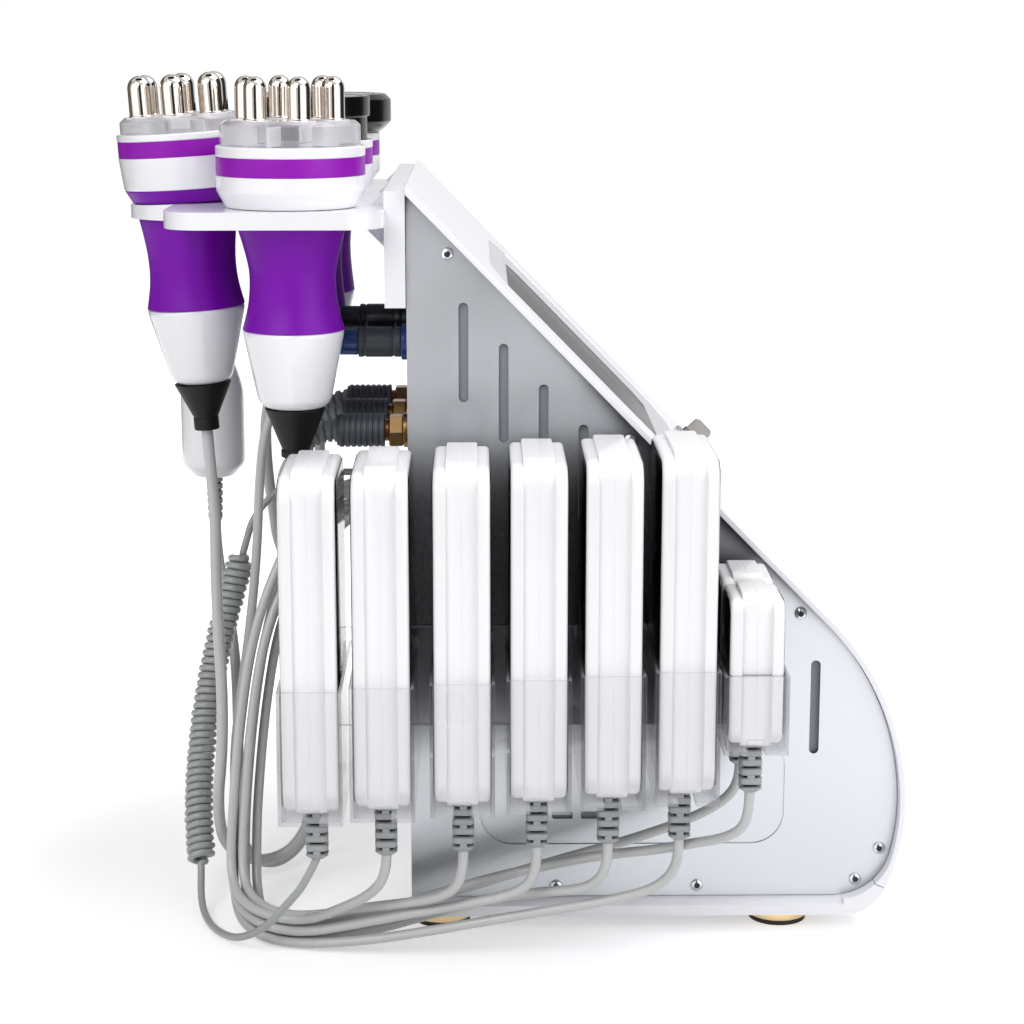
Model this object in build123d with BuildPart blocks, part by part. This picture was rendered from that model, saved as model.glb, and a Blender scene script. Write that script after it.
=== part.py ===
"""Body sculpting machine: a wedge-shaped desktop cabinet with a sloping screen,
a shelf of five lift-out handpieces behind it, a clear rack of eight lift-out
laser pads on its near side, and the cords that join them to the rear panel.

Millimetres, +Z up, +X towards the front of the cabinet (its nose), -Y towards
the rack of pads. The origin is the middle of the machine's footprint, on the
surface that it stands on. Sizes are given from the cabinet's rear, near, lowest
corner, and at() moves them to that frame.
"""

import math
import os

from build123d import *

os.makedirs("parts", exist_ok=True)

# Driving dimensions
cabinet_depth = 272.0        # rear face to the furthest point of the nose
cabinet_height = 411.7       # floor to the rear top edge
cabinet_width = 265.0
ground_gap = 10.5            # floor to the underside of the base
wall = 3.0                   # front cover
base_thickness = 8.6
panel_recess = 8.0           # side panels lie this far inside the rims
panel_thickness = 2.0
fit = 0.3                    # gap between neighbouring fixed pieces
overrun = 2.0                # extra reach of every cutting solid

near_column = 60.5           # handpiece column next to the cabinet, behind its rear face
far_column = 121.5           # handpiece column away from the cabinet
first_handpiece = 20.0       # from the near rim to the first handpiece of the near column
handpiece_pitch = 95.0       # along the near column
stagger = 50.0               # the far column starts this much later
shelf_top = 400.0
shelf_thickness = 9.0
seat_gap = 0.2               # under a handpiece that sits on the shelf
hole_gap = 0.8               # around the widest part that passes a shelf hole

pad_thickness = 28.4
pad_depth = 84.0
pad_height = 178.5
pocket_wall = 1.6
pocket_gap = 0.6             # each side of a pad in its pocket
pad_front_gap = 0.8          # between a pad and its pocket's front wall
pocket_height = 70.0
pocket_pitch = 38.2
rack_reach = 105.0           # side panel's outer face to the pockets' front face

# Middle of the footprint, from the rear near corner
widest_head = 35.0
head_lean = 3.0
rear_reach = far_column + widest_head + head_lean
centre_x = (cabinet_depth - rear_reach) / 2
centre_y = (cabinet_width + panel_recess - rack_reach) / 2


def at(x, y, z):
    """A point measured from the rear, near, lowest corner, in the machine's frame."""
    return (x - centre_x, y - centre_y, z)


def side_plane(y):
    """Plane seen from the near side: its x is +X, its y is +Z, its normal is -Y."""
    return Plane(origin=at(0, y, 0), x_dir=(1, 0, 0), z_dir=(0, -1, 0))


def rear_plane(x):
    """Plane seen from behind: its x is -Y, its y is +Z, its normal is -X."""
    return Plane(origin=at(x, 0, 0), x_dir=(0, -1, 0), z_dir=(-1, 0, 0))


def level(x, y, z):
    """Level plane, x along +X."""
    return Plane(origin=at(x, y, z))


def keep(part, name):
    """Label one finished piece and write it."""
    part.label = name
    export_step(part, f"parts/{name}.step")


# Cabinet outline, seen from the side
nose_height = 72.5           # the furthest point of the nose
nose_radius = 150.0
chin_radius = 118.0
chin_corner_radius = 24.9
panel_corner_radius = 32.0

nose_centre_x = cabinet_depth - nose_radius
chin_centre_x = cabinet_depth - chin_radius
rise = cabinet_height - nose_height
slope_angle = (math.atan2(rise, nose_centre_x)
               - math.asin(nose_radius / math.hypot(rise, nose_centre_x)))
slope_sin = math.sin(slope_angle)
slope_cos = math.cos(slope_angle)


def on_circle(cx, cz, radius, angle):
    """Point of a circle in the side view, angle from +X, up is positive."""
    return (cx + radius * math.cos(angle), cz + radius * math.sin(angle))


def chin_turn(inset, floor, corner):
    """Angle below the nose at which the chin arc meets the bottom corner's arc."""
    return math.asin((nose_height - floor - corner) / (chin_radius - inset - corner))


def corner_centre(inset, floor, corner):
    """Centre of the bottom corner's arc."""
    turn = chin_turn(inset, floor, corner)
    return on_circle(chin_centre_x, nose_height, chin_radius - inset - corner, -turn)


def cabinet_face(inset, floor, corner, rear=0.0):
    """Side view of the cabinet, drawn inset from its outside, as one closed outline."""
    nose = nose_radius - inset
    chin = chin_radius - inset
    turn = chin_turn(inset, floor, corner)
    corner_x, corner_z = corner_centre(inset, floor, corner)
    slope_normal = math.pi / 2 - slope_angle
    slope_end = on_circle(nose_centre_x, nose_height, nose, slope_normal)
    slope_top = (rear, slope_end[1] + (slope_end[0] - rear) * math.tan(slope_angle))
    nose_tip = (cabinet_depth - inset, nose_height)
    chin_end = on_circle(chin_centre_x, nose_height, chin, -turn)
    bottom_end = (corner_x, floor)
    bottom_rear = (rear, floor)
    corner_middle = -(turn + math.pi / 2) / 2
    with BuildSketch(Plane.XY) as face:
        with BuildLine():
            Line(slope_top, slope_end)
            ThreePointArc(slope_end, on_circle(nose_centre_x, nose_height, nose, slope_normal / 2), nose_tip)
            ThreePointArc(nose_tip, on_circle(chin_centre_x, nose_height, chin, -turn / 2), chin_end)
            ThreePointArc(chin_end, on_circle(corner_x, corner_z, corner, corner_middle), bottom_end)
            Line(bottom_end, bottom_rear)
            Line(bottom_rear, slope_top)
        make_face()
    return face.sketch


# Seam between the front cover and the base, square to the chin's corner
outer_corner = (ground_gap, chin_corner_radius)
panel_floor = ground_gap + base_thickness
seam_gap = 0.5
seam_turn = chin_turn(0, *outer_corner)
seam_x, seam_z = corner_centre(0, *outer_corner)


def below_seam(lift):
    """Everything under the seam, raised by lift, as a closed outline."""
    far = cabinet_depth
    left = (-far, seam_z + (seam_x + far) * math.tan(seam_turn) + lift)
    right = (2 * far, seam_z - (2 * far - seam_x) * math.tan(seam_turn) + lift)
    with BuildSketch(Plane.XY) as half:
        with BuildLine():
            Polyline(left, right, (2 * far, -2 * far), (-far, -2 * far), close=True)
        make_face()
    return half.sketch


# Screen and its two-step recess in the sloping face
screen_width = 162.0         # across the machine
screen_height = 121.5        # down the slope
screen_down = 142.0          # rear top edge to the middle of the screen, down the slope
recess_width = 190.0
recess_height = 157.0
recess_depth = 1.0
recess_corner = 15.0
bevel_width = 7.0
glass_thickness = 3.0
glass_lip = 4.0
glass_corner = 10.0


def slope_plane(down, y, sink=0.0):
    """Plane on the sloping face: its x runs down the slope, its y across the machine."""
    x = down * slope_cos - sink * slope_sin
    z = cabinet_height - down * slope_sin - sink * slope_cos
    return Plane(origin=at(x, y, z), x_dir=(slope_cos, 0, -slope_sin), z_dir=(slope_sin, 0, slope_cos))


# Key switch low on the slope, towards the far side
key_below_screen = 38.25     # lower edge of the screen to the key switch, down the slope
key_from_far_rim = 50.0
key_down = screen_down + screen_height / 2 + key_below_screen
key_across = cabinet_width - key_from_far_rim
key_ring_radius = 12.0
key_ring_height = 3.5
key_barrel_radius = 8.0
key_barrel_height = 6.0
key_bow_width = 14.0
key_bow_height = 9.0
key_bow_thickness = 2.4
key_running_gap = 0.08
key_depth = 12.0             # housing behind the cover

with BuildPart() as front_cover:
    with BuildSketch(side_plane(0)):
        add(cabinet_face(0, *outer_corner))
        add(cabinet_face(wall, panel_floor, panel_corner_radius), mode=Mode.SUBTRACT)
        add(below_seam(seam_gap), mode=Mode.SUBTRACT)
    extrude(amount=-cabinet_width)
    with BuildSketch(slope_plane(screen_down, cabinet_width / 2)):
        Rectangle(recess_height, recess_width)
        chamfer(vertices(), recess_corner)
    extrude(amount=-recess_depth, mode=Mode.SUBTRACT)
    for sink, bevel in ((recess_depth, bevel_width), (wall, 0)):
        with BuildSketch(slope_plane(screen_down, cabinet_width / 2, sink)):
            Rectangle(screen_height + 2 * bevel, screen_width + 2 * bevel)
            chamfer(vertices(), glass_corner)
    loft(mode=Mode.SUBTRACT)
    with BuildSketch(slope_plane(key_down, key_across)):
        Circle(key_barrel_radius + fit + key_running_gap)
    extrude(amount=-(wall + overrun), mode=Mode.SUBTRACT)
keep(front_cover.part, "front_cover")

with BuildPart() as touch_screen:
    with BuildSketch(slope_plane(screen_down, cabinet_width / 2, wall)):
        Rectangle(screen_height + 2 * glass_lip, screen_width + 2 * glass_lip)
        chamfer(vertices(), glass_corner)
    extrude(amount=-glass_thickness)
keep(touch_screen.part, "touch_screen")

with BuildPart() as key_switch_ring:
    with BuildSketch(slope_plane(key_down, key_across)):
        Circle(key_ring_radius)
        Circle(key_barrel_radius + key_running_gap, mode=Mode.SUBTRACT)
    extrude(amount=key_ring_height)
    ring_top = key_switch_ring.faces().sort_by(Axis(at(0, 0, 0), slope_plane(0, 0).z_dir))[-1]
    chamfer(ring_top.outer_wire().edges(), key_ring_height / 3)
keep(key_switch_ring.part, "key_switch_ring")

with BuildPart() as key_switch_key:
    with BuildSketch(slope_plane(key_down, key_across, key_depth)):
        Circle(key_barrel_radius)
    extrude(amount=key_depth + key_barrel_height)
    with BuildSketch(slope_plane(key_down, key_across, -key_barrel_height)):
        Rectangle(key_bow_width, key_bow_thickness)
    extrude(amount=key_bow_height)
    bow_top = key_switch_key.faces().sort_by(Axis(at(0, 0, 0), slope_plane(0, 0).z_dir))[-1]
    fillet(bow_top.edges().sort_by(SortBy.LENGTH)[0:2], key_bow_height / 3)
keep(key_switch_key.part, "key_switch_key")

# Base tray: the bottom of the wrap, with a sloping inner edge along each rim
rim_bevel_drop = 2.7

with BuildPart() as base_tray:
    with BuildSketch(side_plane(0)):
        add(cabinet_face(0, *outer_corner))
        add(cabinet_face(wall, panel_floor, panel_corner_radius), mode=Mode.SUBTRACT)
        add(below_seam(0), mode=Mode.INTERSECT)
    extrude(amount=-cabinet_width)
    for rim, inward in ((0.0, 1), (cabinet_width, -1)):
        with BuildSketch(rear_plane(-overrun)):
            with BuildLine():
                Polyline((-rim, panel_floor - rim_bevel_drop), (-rim, panel_floor + overrun),
                         (-rim - inward * panel_recess, panel_floor + overrun),
                         (-rim - inward * panel_recess, panel_floor), close=True)
            make_face()
        extrude(amount=-(seam_x + overrun), mode=Mode.SUBTRACT)
keep(base_tray.part, "base_tray")

# Side panels: vent slots under the slope, a pressed tray and two wall-hanging slots
vent_count = 10
vent_first_x = 30.0
vent_pitch = 21.3
vent_width = 5.2
vent_length = 53.0
vent_below_slope = 30.7
pressing_left = 38.0
pressing_right = 206.0
pressing_bottom = 49.6
pressing_height = 62.0
pressing_corner = 18.0
pressing_depth = 0.8
cable_slot_width = 11.5
cable_slot_height = 4.0
cable_slot_first_x = 83.6
cable_slot_pitch = 16.0
cable_slot_rise = 16.5
screw_head_radius = 3.3
screw_head_height = 1.8
screw_inset = 6.4
slope_screw_shares = (0.124, 0.548, 0.957)
bottom_screw_shares = (0.295, 0.583)
corner_screw_turns = (10.0, 61.0)

panel_outline = (wall + fit, panel_floor + fit, panel_corner_radius - fit)


def slope_height(x):
    """Height of the sloping face above the floor, x from the rear."""
    return cabinet_height - x * math.tan(slope_angle)


def screw_places():
    """Side-view places of one panel's screws: down the slope, round the chin, along the base."""
    straight = (nose_centre_x + nose_radius * slope_sin) / slope_cos
    places = []
    for share in slope_screw_shares:
        inset = wall + screw_inset
        places.append((share * straight * slope_cos - inset * slope_sin,
                       cabinet_height - share * straight * slope_sin - inset * slope_cos))
    corner_x, corner_z = corner_centre(*panel_outline)
    for turn in corner_screw_turns:
        radius = panel_corner_radius - screw_inset
        places.append(on_circle(corner_x, corner_z, radius, -math.radians(turn)))
    for share in bottom_screw_shares:
        places.append((share * cabinet_depth, panel_floor + screw_inset))
    return places


def side_panel(outer_y, inward):
    """One flat panel; inward is +1 on the near side and -1 on the far side."""
    with BuildPart() as panel:
        with BuildSketch(side_plane(outer_y)):
            add(cabinet_face(*panel_outline))
            for i in range(vent_count):
                x = vent_first_x + i * vent_pitch
                top = slope_height(x) - vent_below_slope
                with Locations((x, top - vent_length / 2)):
                    SlotOverall(vent_length, vent_width, rotation=90, mode=Mode.SUBTRACT)
            for i in range(2):
                slot_x = cable_slot_first_x + i * cable_slot_pitch
                with Locations((slot_x, pressing_bottom + cable_slot_rise)):
                    RectangleRounded(cable_slot_width, cable_slot_height, cable_slot_height / 4,
                                     mode=Mode.SUBTRACT)
        extrude(amount=-inward * panel_thickness)
        with BuildSketch(side_plane(outer_y)):
            with Locations(((pressing_left + pressing_right) / 2, pressing_bottom + pressing_height / 2)):
                RectangleRounded(pressing_right - pressing_left, pressing_height, pressing_corner)
        extrude(amount=-inward * pressing_depth, mode=Mode.SUBTRACT)
    return panel.part


keep(side_panel(panel_recess, 1), "side_panel_near")
keep(side_panel(cabinet_width - panel_recess, -1), "side_panel_far")

with BuildPart() as panel_screws:
    for outer_y, outward in ((panel_recess, 1), (cabinet_width - panel_recess, -1)):
        with BuildSketch(side_plane(outer_y)):
            with Locations(*screw_places()):
                Circle(screw_head_radius)
        extrude(amount=outward * screw_head_height)
keep(panel_screws.part, "panel_screws")

# Rear panel between the side panels, with socket holes, air slots and the mains inlet
rear_thickness = 2.0
socket_hole_radius = 6.2
lower_socket_height = 277.0
lower_socket_first = 40.0
lower_socket_pitch = 53.0
upper_socket_height = 323.0
upper_socket_first = 60.0
upper_socket_pitch = 23.0
upper_socket_rise = 10.0
air_slot_count = 7
air_slot_length = 60.0
air_slot_width = 4.0
air_slot_pitch = 9.0
air_slot_height = 150.0
air_slot_from_far_rim = 70.0
inlet_from_far_rim = 60.0
inlet_height = 60.0
inlet_width = 50.0
inlet_tall = 28.0
inlet_hole_width = 45.0
inlet_hole_tall = 22.0
block_across = 112.0
block_below_sockets = 49.0
block_width = 64.0
block_tall = 26.0
block_depth = 14.0

lower_sockets = [(lower_socket_first + i * lower_socket_pitch, lower_socket_height) for i in range(3)]
upper_sockets = [(upper_socket_first + i * upper_socket_pitch, upper_socket_height + i * upper_socket_rise)
                 for i in range(2)]
rear_inner = panel_recess + panel_thickness + fit
air_slot_across = cabinet_width - air_slot_from_far_rim
inlet_across = cabinet_width - inlet_from_far_rim
block_height = lower_socket_height - block_below_sockets
rear_top = slope_height(rear_thickness) - wall / slope_cos - fit
rear_low = panel_floor + fit

with BuildPart() as rear_panel:
    with BuildSketch(rear_plane(0)):
        with Locations((-cabinet_width / 2, (rear_low + rear_top) / 2)):
            Rectangle(cabinet_width - 2 * rear_inner, rear_top - rear_low)
        with Locations(*[(-y, z) for y, z in lower_sockets + upper_sockets]):
            Circle(socket_hole_radius, mode=Mode.SUBTRACT)
        for i in range(air_slot_count):
            with Locations((-air_slot_across, air_slot_height + i * air_slot_pitch)):
                SlotOverall(air_slot_length, air_slot_width, mode=Mode.SUBTRACT)
        with Locations((-inlet_across, inlet_height)):
            Rectangle(inlet_hole_width, inlet_hole_tall, mode=Mode.SUBTRACT)
    extrude(amount=-rear_thickness)
keep(rear_panel.part, "rear_panel")

# Mains inlet: a moulded socket with a flange and three pins
inlet_flange = 2.5
inlet_body_depth = 22.0
inlet_pocket_width = 24.0
inlet_pocket_tall = 18.0
inlet_pocket_depth = 16.0
pin_width = 4.0
pin_thickness = 2.0
pin_length = 13.0
pin_spacing = 7.0

with BuildPart() as power_inlet:
    with BuildSketch(rear_plane(0)):
        with Locations((-inlet_across, inlet_height)):
            RectangleRounded(inlet_width, inlet_tall, inlet_flange)
    extrude(amount=inlet_flange)
    with BuildSketch(rear_plane(0)):
        with Locations((-inlet_across, inlet_height)):
            Rectangle(inlet_hole_width - 2 * fit, inlet_hole_tall - 2 * fit)
    extrude(amount=-inlet_body_depth)
    with BuildSketch(rear_plane(-inlet_flange)):
        with Locations((-inlet_across, inlet_height)):
            Rectangle(inlet_pocket_width, inlet_pocket_tall)
            chamfer(vertices().group_by(Axis.Y)[-1], inlet_pocket_tall / 4)
    extrude(amount=-inlet_pocket_depth, mode=Mode.SUBTRACT)
    with BuildSketch(rear_plane(inlet_pocket_depth - inlet_flange)):
        for i in (-1, 0, 1):
            rise = pin_width / 2 if i == 0 else -pin_width / 2
            with Locations((-inlet_across + i * pin_spacing, inlet_height + rise)):
                Rectangle(pin_thickness, pin_width)
    extrude(amount=pin_length)
keep(power_inlet.part, "power_inlet")

# Feet: turned aluminium discs on rubber pads
foot_radius = 18.0
foot_bevel = 1.5
foot_inset = 27.0            # from each side rim
rear_foot_x = 16.5
front_foot_x = 206.0
rubber_radius = 16.0
rubber_height = 2.5

foot_places = [(x, y) for x in (rear_foot_x, front_foot_x) for y in (foot_inset, cabinet_width - foot_inset)]

with BuildPart() as feet:
    with BuildSketch(level(0, 0, rubber_height)):
        with Locations(*foot_places):
            Circle(foot_radius)
    extrude(amount=ground_gap - rubber_height)
    chamfer(feet.faces().sort_by(Axis.Z)[0:4].edges(), foot_bevel)
keep(feet.part, "feet")

with BuildPart() as foot_pads:
    with BuildSketch(level(0, 0, 0)):
        with Locations(*foot_places):
            Circle(rubber_radius)
    extrude(amount=rubber_height)
keep(foot_pads.part, "foot_pads")

# Handpieces hang by their heads in the shelf's holes.
# Heights are measured from the shelf's top along each handpiece's own axis.
far_lean = 3.4               # degrees, the second handpiece leans away from the cabinet


def station(x, y, lean=0.0):
    """Plane on the shelf's top at a hole's centre, its z up the handpiece's axis."""
    turn = math.radians(lean)
    return Plane(origin=at(x, y, shelf_top), x_dir=(math.cos(turn), 0, math.sin(turn)),
                 z_dir=(-math.sin(turn), 0, math.cos(turn)))


station_1 = station(-near_column, first_handpiece)
station_2 = station(-far_column, first_handpiece + stagger, far_lean)
station_3 = station(-far_column, first_handpiece + stagger + handpiece_pitch)
station_4 = station(-near_column, first_handpiece + handpiece_pitch)
station_5 = station(-near_column, first_handpiece + 2 * handpiece_pitch)


def half_view(seat):
    """Plane through a handpiece's axis: its x is the radius, its y the height."""
    return Plane(origin=seat.origin, x_dir=seat.x_dir, z_dir=-seat.y_dir)


def turned(seat, outline):
    """Solid turned about a handpiece's axis from a closed outline of (radius, height)."""
    with BuildPart() as part:
        with BuildSketch(half_view(seat)):
            with BuildLine():
                Polyline(*outline, close=True)
            make_face()
        revolve(axis=Axis(seat.origin, seat.z_dir))
    return part.part


def waisted(seat, neck, waist, waist_height, foot, foot_height, top):
    """Grip: a straight neck through the shelf, then cones along a long inward curve."""
    bend = Edge.make_three_point_arc((neck, -shelf_thickness), (waist, waist_height), (foot, foot_height))
    places = [bend.position_at(share) for share in waist_shares]
    return turned(seat, [(0, top), (neck, top)] + [(p.X, p.Y) for p in places] + [(0, foot_height)])


waist_shares = (0.0, 0.18, 0.36, 0.52, 0.68, 0.84, 1.0)


def electrodes(seat, count, ring_radius, radius, base, top, first_turn):
    """Round-nosed contacts standing on a ring."""
    nose = [(radius * across, top - radius * (1 - up)) for across, up in nose_shares]
    contact = turned(Plane.XY, [(0, base), (radius, base)] + nose + [(0, top)])
    with BuildPart() as part:
        with Locations(seat):
            with PolarLocations(ring_radius, count, start_angle=first_turn):
                add(contact)
    return part.part


nose_shares = ((1.0, 0.08), (0.9, 0.48), (0.62, 0.82), (0.3, 0.97))
band_depth = 1.5             # the coloured band lies in a groove this deep
electrode_count = 6

# First handpiece: the broad head with six electrodes
head_1_radius = 39.3
head_1_seat_radius = 34.4
head_1_bevel_height = 9.0
band_1_low = 16.8
band_1_high = 26.8
lip_1_top = 32.2
cap_1_radius = 37.0
cap_1_top = 45.8
cap_1_bevel = 3.0
electrode_1_ring = 23.8
electrode_1_radius = 6.1
electrode_1_top = 68.0
electrode_1_turn = -133.5
neck_1 = 29.3
waist_1 = 22.9
waist_1_height = -38.7
grip_1_foot = 26.9
grip_1_end = -64.5
tail_1_radius = 19.5
tail_1_end = -107.0
tail_1_round = 4.0
boot_1_top = 16.4
boot_1_neck = 7.3
boot_1_end = -130.0
collar_1_radius = 8.0
collar_1_end = -134.0


def banded_head(seat, radius, seat_radius, bevel_height, band_low, band_high, lip_top):
    """Head shell with a groove for its coloured band."""
    return turned(seat, [(0, seat_gap), (seat_radius, seat_gap), (radius, bevel_height),
                         (radius, band_low), (radius - band_depth, band_low),
                         (radius - band_depth, band_high), (radius, band_high), (radius, lip_top),
                         (0, lip_top)])


def band(seat, radius, band_low, band_high):
    """Coloured band in the head's groove."""
    return turned(seat, [(radius - band_depth, band_low), (radius, band_low), (radius, band_high),
                         (radius - band_depth, band_high)])


def tail(seat, top_radius, top, low_radius, end, edge_round):
    """Cone under the grip with a bevelled lower edge."""
    return turned(seat, [(0, top), (top_radius, top), (low_radius, end + edge_round),
                         (low_radius - edge_round, end), (0, end)])


def boot(seat, top_radius, top, neck_radius, neck_end, collar_radius, end):
    """Rubber cone that ends in a collar round the cord."""
    return turned(seat, [(0, top), (top_radius, top), (neck_radius, neck_end), (collar_radius, neck_end),
                         (collar_radius, end), (0, end)])


keep(electrodes(station_1, electrode_count, electrode_1_ring, electrode_1_radius, cap_1_top,
                electrode_1_top, electrode_1_turn), "handpiece_1_electrodes")
keep(turned(station_1, [(0, lip_1_top), (cap_1_radius, lip_1_top), (cap_1_radius, cap_1_top - cap_1_bevel),
                        (cap_1_radius - cap_1_bevel, cap_1_top), (0, cap_1_top)]), "handpiece_1_cap")
keep(Compound([banded_head(station_1, head_1_radius, head_1_seat_radius, head_1_bevel_height, band_1_low,
                           band_1_high, lip_1_top),
               tail(station_1, grip_1_foot, grip_1_end, tail_1_radius, tail_1_end, tail_1_round)]),
     "handpiece_1_shell")
keep(Compound([band(station_1, head_1_radius, band_1_low, band_1_high),
               waisted(station_1, neck_1, waist_1, waist_1_height, grip_1_foot, grip_1_end, seat_gap)]),
     "handpiece_1_grip")
keep(boot(station_1, boot_1_top, tail_1_end, boot_1_neck, boot_1_end, collar_1_radius, collar_1_end),
     "handpiece_1_boot")

# Second handpiece: a narrower head on a flared coloured collar, leaning back
head_2_radius = widest_head
head_2_low_radius = 33.2
head_2_low = 7.4
flare_2_radius = 29.2
band_2_low = 24.8
band_2_high = 33.9
lip_2_top = 37.4
cap_2_radius = 32.8
cap_2_top = 46.8
cap_2_bevel = 2.5
electrode_2_ring = 21.8
electrode_2_radius = 6.6
electrode_2_top = 68.4
electrode_2_turn = -150.0
neck_2 = 26.9
waist_2 = 23.8
waist_2_height = -38.0
grip_2_foot = 26.8
grip_2_end = -58.0
tail_2_radius = 17.0
tail_2_end = -101.0
tail_2_round = 3.5
boot_2_top = 15.9
boot_2_neck = 6.7
boot_2_end = -120.5
collar_2_radius = 7.0
collar_2_end = -127.5

keep(electrodes(station_2, electrode_count, electrode_2_ring, electrode_2_radius, cap_2_top,
                electrode_2_top, electrode_2_turn), "handpiece_2_electrodes")
keep(turned(station_2, [(0, lip_2_top), (cap_2_radius, lip_2_top), (cap_2_radius, cap_2_top - cap_2_bevel),
                        (cap_2_radius - cap_2_bevel, cap_2_top), (0, cap_2_top)]), "handpiece_2_cap")
keep(Compound([turned(station_2, [(0, head_2_low), (head_2_low_radius, head_2_low),
                                  (head_2_radius, band_2_low), (head_2_radius - band_depth, band_2_low),
                                  (head_2_radius - band_depth, band_2_high), (head_2_radius, band_2_high),
                                  (head_2_radius, lip_2_top), (0, lip_2_top)]),
               tail(station_2, grip_2_foot, grip_2_end, tail_2_radius, tail_2_end, tail_2_round)]),
     "handpiece_2_shell")
flare_2 = turned(station_2, [(0, seat_gap), (flare_2_radius, seat_gap), (head_2_low_radius, head_2_low),
                             (0, head_2_low)])
grip_2 = waisted(station_2, neck_2, waist_2, waist_2_height, grip_2_foot, grip_2_end, seat_gap)
keep(Compound([band(station_2, head_2_radius, band_2_low, band_2_high), flare_2 + grip_2]),
     "handpiece_2_grip")
keep(boot(station_2, boot_2_top, tail_2_end, boot_2_neck, boot_2_end, collar_2_radius, collar_2_end),
     "handpiece_2_boot")

# Third handpiece: a slim wand with a heavy lower end
wand_collar_radius = 23.0
wand_collar_height = 8.0
wand_tip_radius = 15.0
wand_tip_top = 26.0
wand_shaft = 10.0
wand_shoulder = -86.0
wand_radius = 18.7
wand_belly = -122.0
wand_base = -164.0
wand_end = -172.0
wand_end_radius = 8.0
wand_boot_radius = 5.0
wand_boot_end = -199.0

keep(turned(station_3, [(0, wand_end), (wand_end_radius, wand_end), (wand_radius, wand_base),
                        (wand_radius, wand_belly), (wand_shaft, wand_shoulder), (wand_shaft, seat_gap),
                        (wand_collar_radius, seat_gap), (wand_collar_radius, wand_collar_height),
                        (wand_tip_radius, wand_tip_top), (0, wand_tip_top)]), "handpiece_3_wand")
keep(turned(station_3, [(0, wand_boot_end), (wand_boot_radius, wand_boot_end),
                        (wand_boot_radius, wand_end), (0, wand_end)]), "handpiece_3_boot")

# Fourth and fifth handpieces: flat black heads on the same slimmer body
body_radius = 39.0
body_seat_radius = 32.5
body_bevel_height = 8.0
body_band_low = 17.5
body_band_high = 26.5
body_lip_top = 31.0
neck_4 = 25.0
waist_4 = 20.5
waist_4_height = -38.0
grip_4_foot = 22.5
grip_4_end = -64.5
tail_4_radius = 15.0
tail_4_end = -100.0
tail_4_round = 3.0
boot_4_top = 13.0
boot_4_neck = 6.7
boot_4_end = -120.0
collar_4_radius = 7.0
collar_4_end = -126.0
plate_4_radius = 37.6
plate_4_low = 44.0
plate_4_top = 55.4
plate_4_neck = 36.0
plate_5_radius = 46.0
plate_5_low = 34.0
plate_5_top = 54.0
plate_5_bevel = 3.5
plate_5_neck = 38.5


def slim_body(seat, name):
    """White shell, coloured grip and rubber boot shared by the two black-headed handpieces."""
    keep(Compound([banded_head(seat, body_radius, body_seat_radius, body_bevel_height, body_band_low,
                               body_band_high, body_lip_top),
                   tail(seat, grip_4_foot, grip_4_end, tail_4_radius, tail_4_end, tail_4_round),
                   boot(seat, boot_4_top, tail_4_end, boot_4_neck, boot_4_end, collar_4_radius,
                        collar_4_end)]), name + "_shell")
    keep(Compound([band(seat, body_radius, body_band_low, body_band_high),
                   waisted(seat, neck_4, waist_4, waist_4_height, grip_4_foot, grip_4_end, seat_gap)]),
         name + "_grip")


slim_body(station_4, "handpiece_4")
keep(turned(station_4, [(0, body_lip_top), (plate_4_neck, body_lip_top), (plate_4_neck, plate_4_low),
                        (plate_4_radius, plate_4_low), (plate_4_radius, plate_4_top), (0, plate_4_top)]),
     "handpiece_4_head")
slim_body(station_5, "handpiece_5")
keep(turned(station_5, [(0, body_lip_top), (plate_5_neck, body_lip_top),
                        (plate_5_radius - plate_5_bevel, plate_5_low), (plate_5_radius, plate_5_low + plate_5_bevel),
                        (plate_5_radius, plate_5_top - plate_5_bevel),
                        (plate_5_radius - plate_5_bevel, plate_5_top), (0, plate_5_top)]),
     "handpiece_5_head")

# Shelf: one plate with two rear lobes, an upright flange on the cabinet's rear, and gussets
shelf_margin = 42.0          # near column's hole centres to the near and far edges
shelf_left = 125.0
shelf_round = 20.0
lobe_radius = 30.5
lobe_blend = 12.0
flange_thickness = 11.0
flange_low = 348.0
flange_high = 409.0
flange_inset = 4.0
gusset_low = 14.0
gusset_high = 8.0
gusset_thickness = 4.0
gusset_inset = 30.0

shelf_near = first_handpiece - shelf_margin
shelf_far = first_handpiece + 2 * handpiece_pitch + shelf_margin
holes = ((station_1, neck_1), (station_2, neck_2), (station_3, wand_radius), (station_4, neck_4),
         (station_5, neck_4))
lobes = (first_handpiece + stagger, first_handpiece + stagger + handpiece_pitch)

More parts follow.
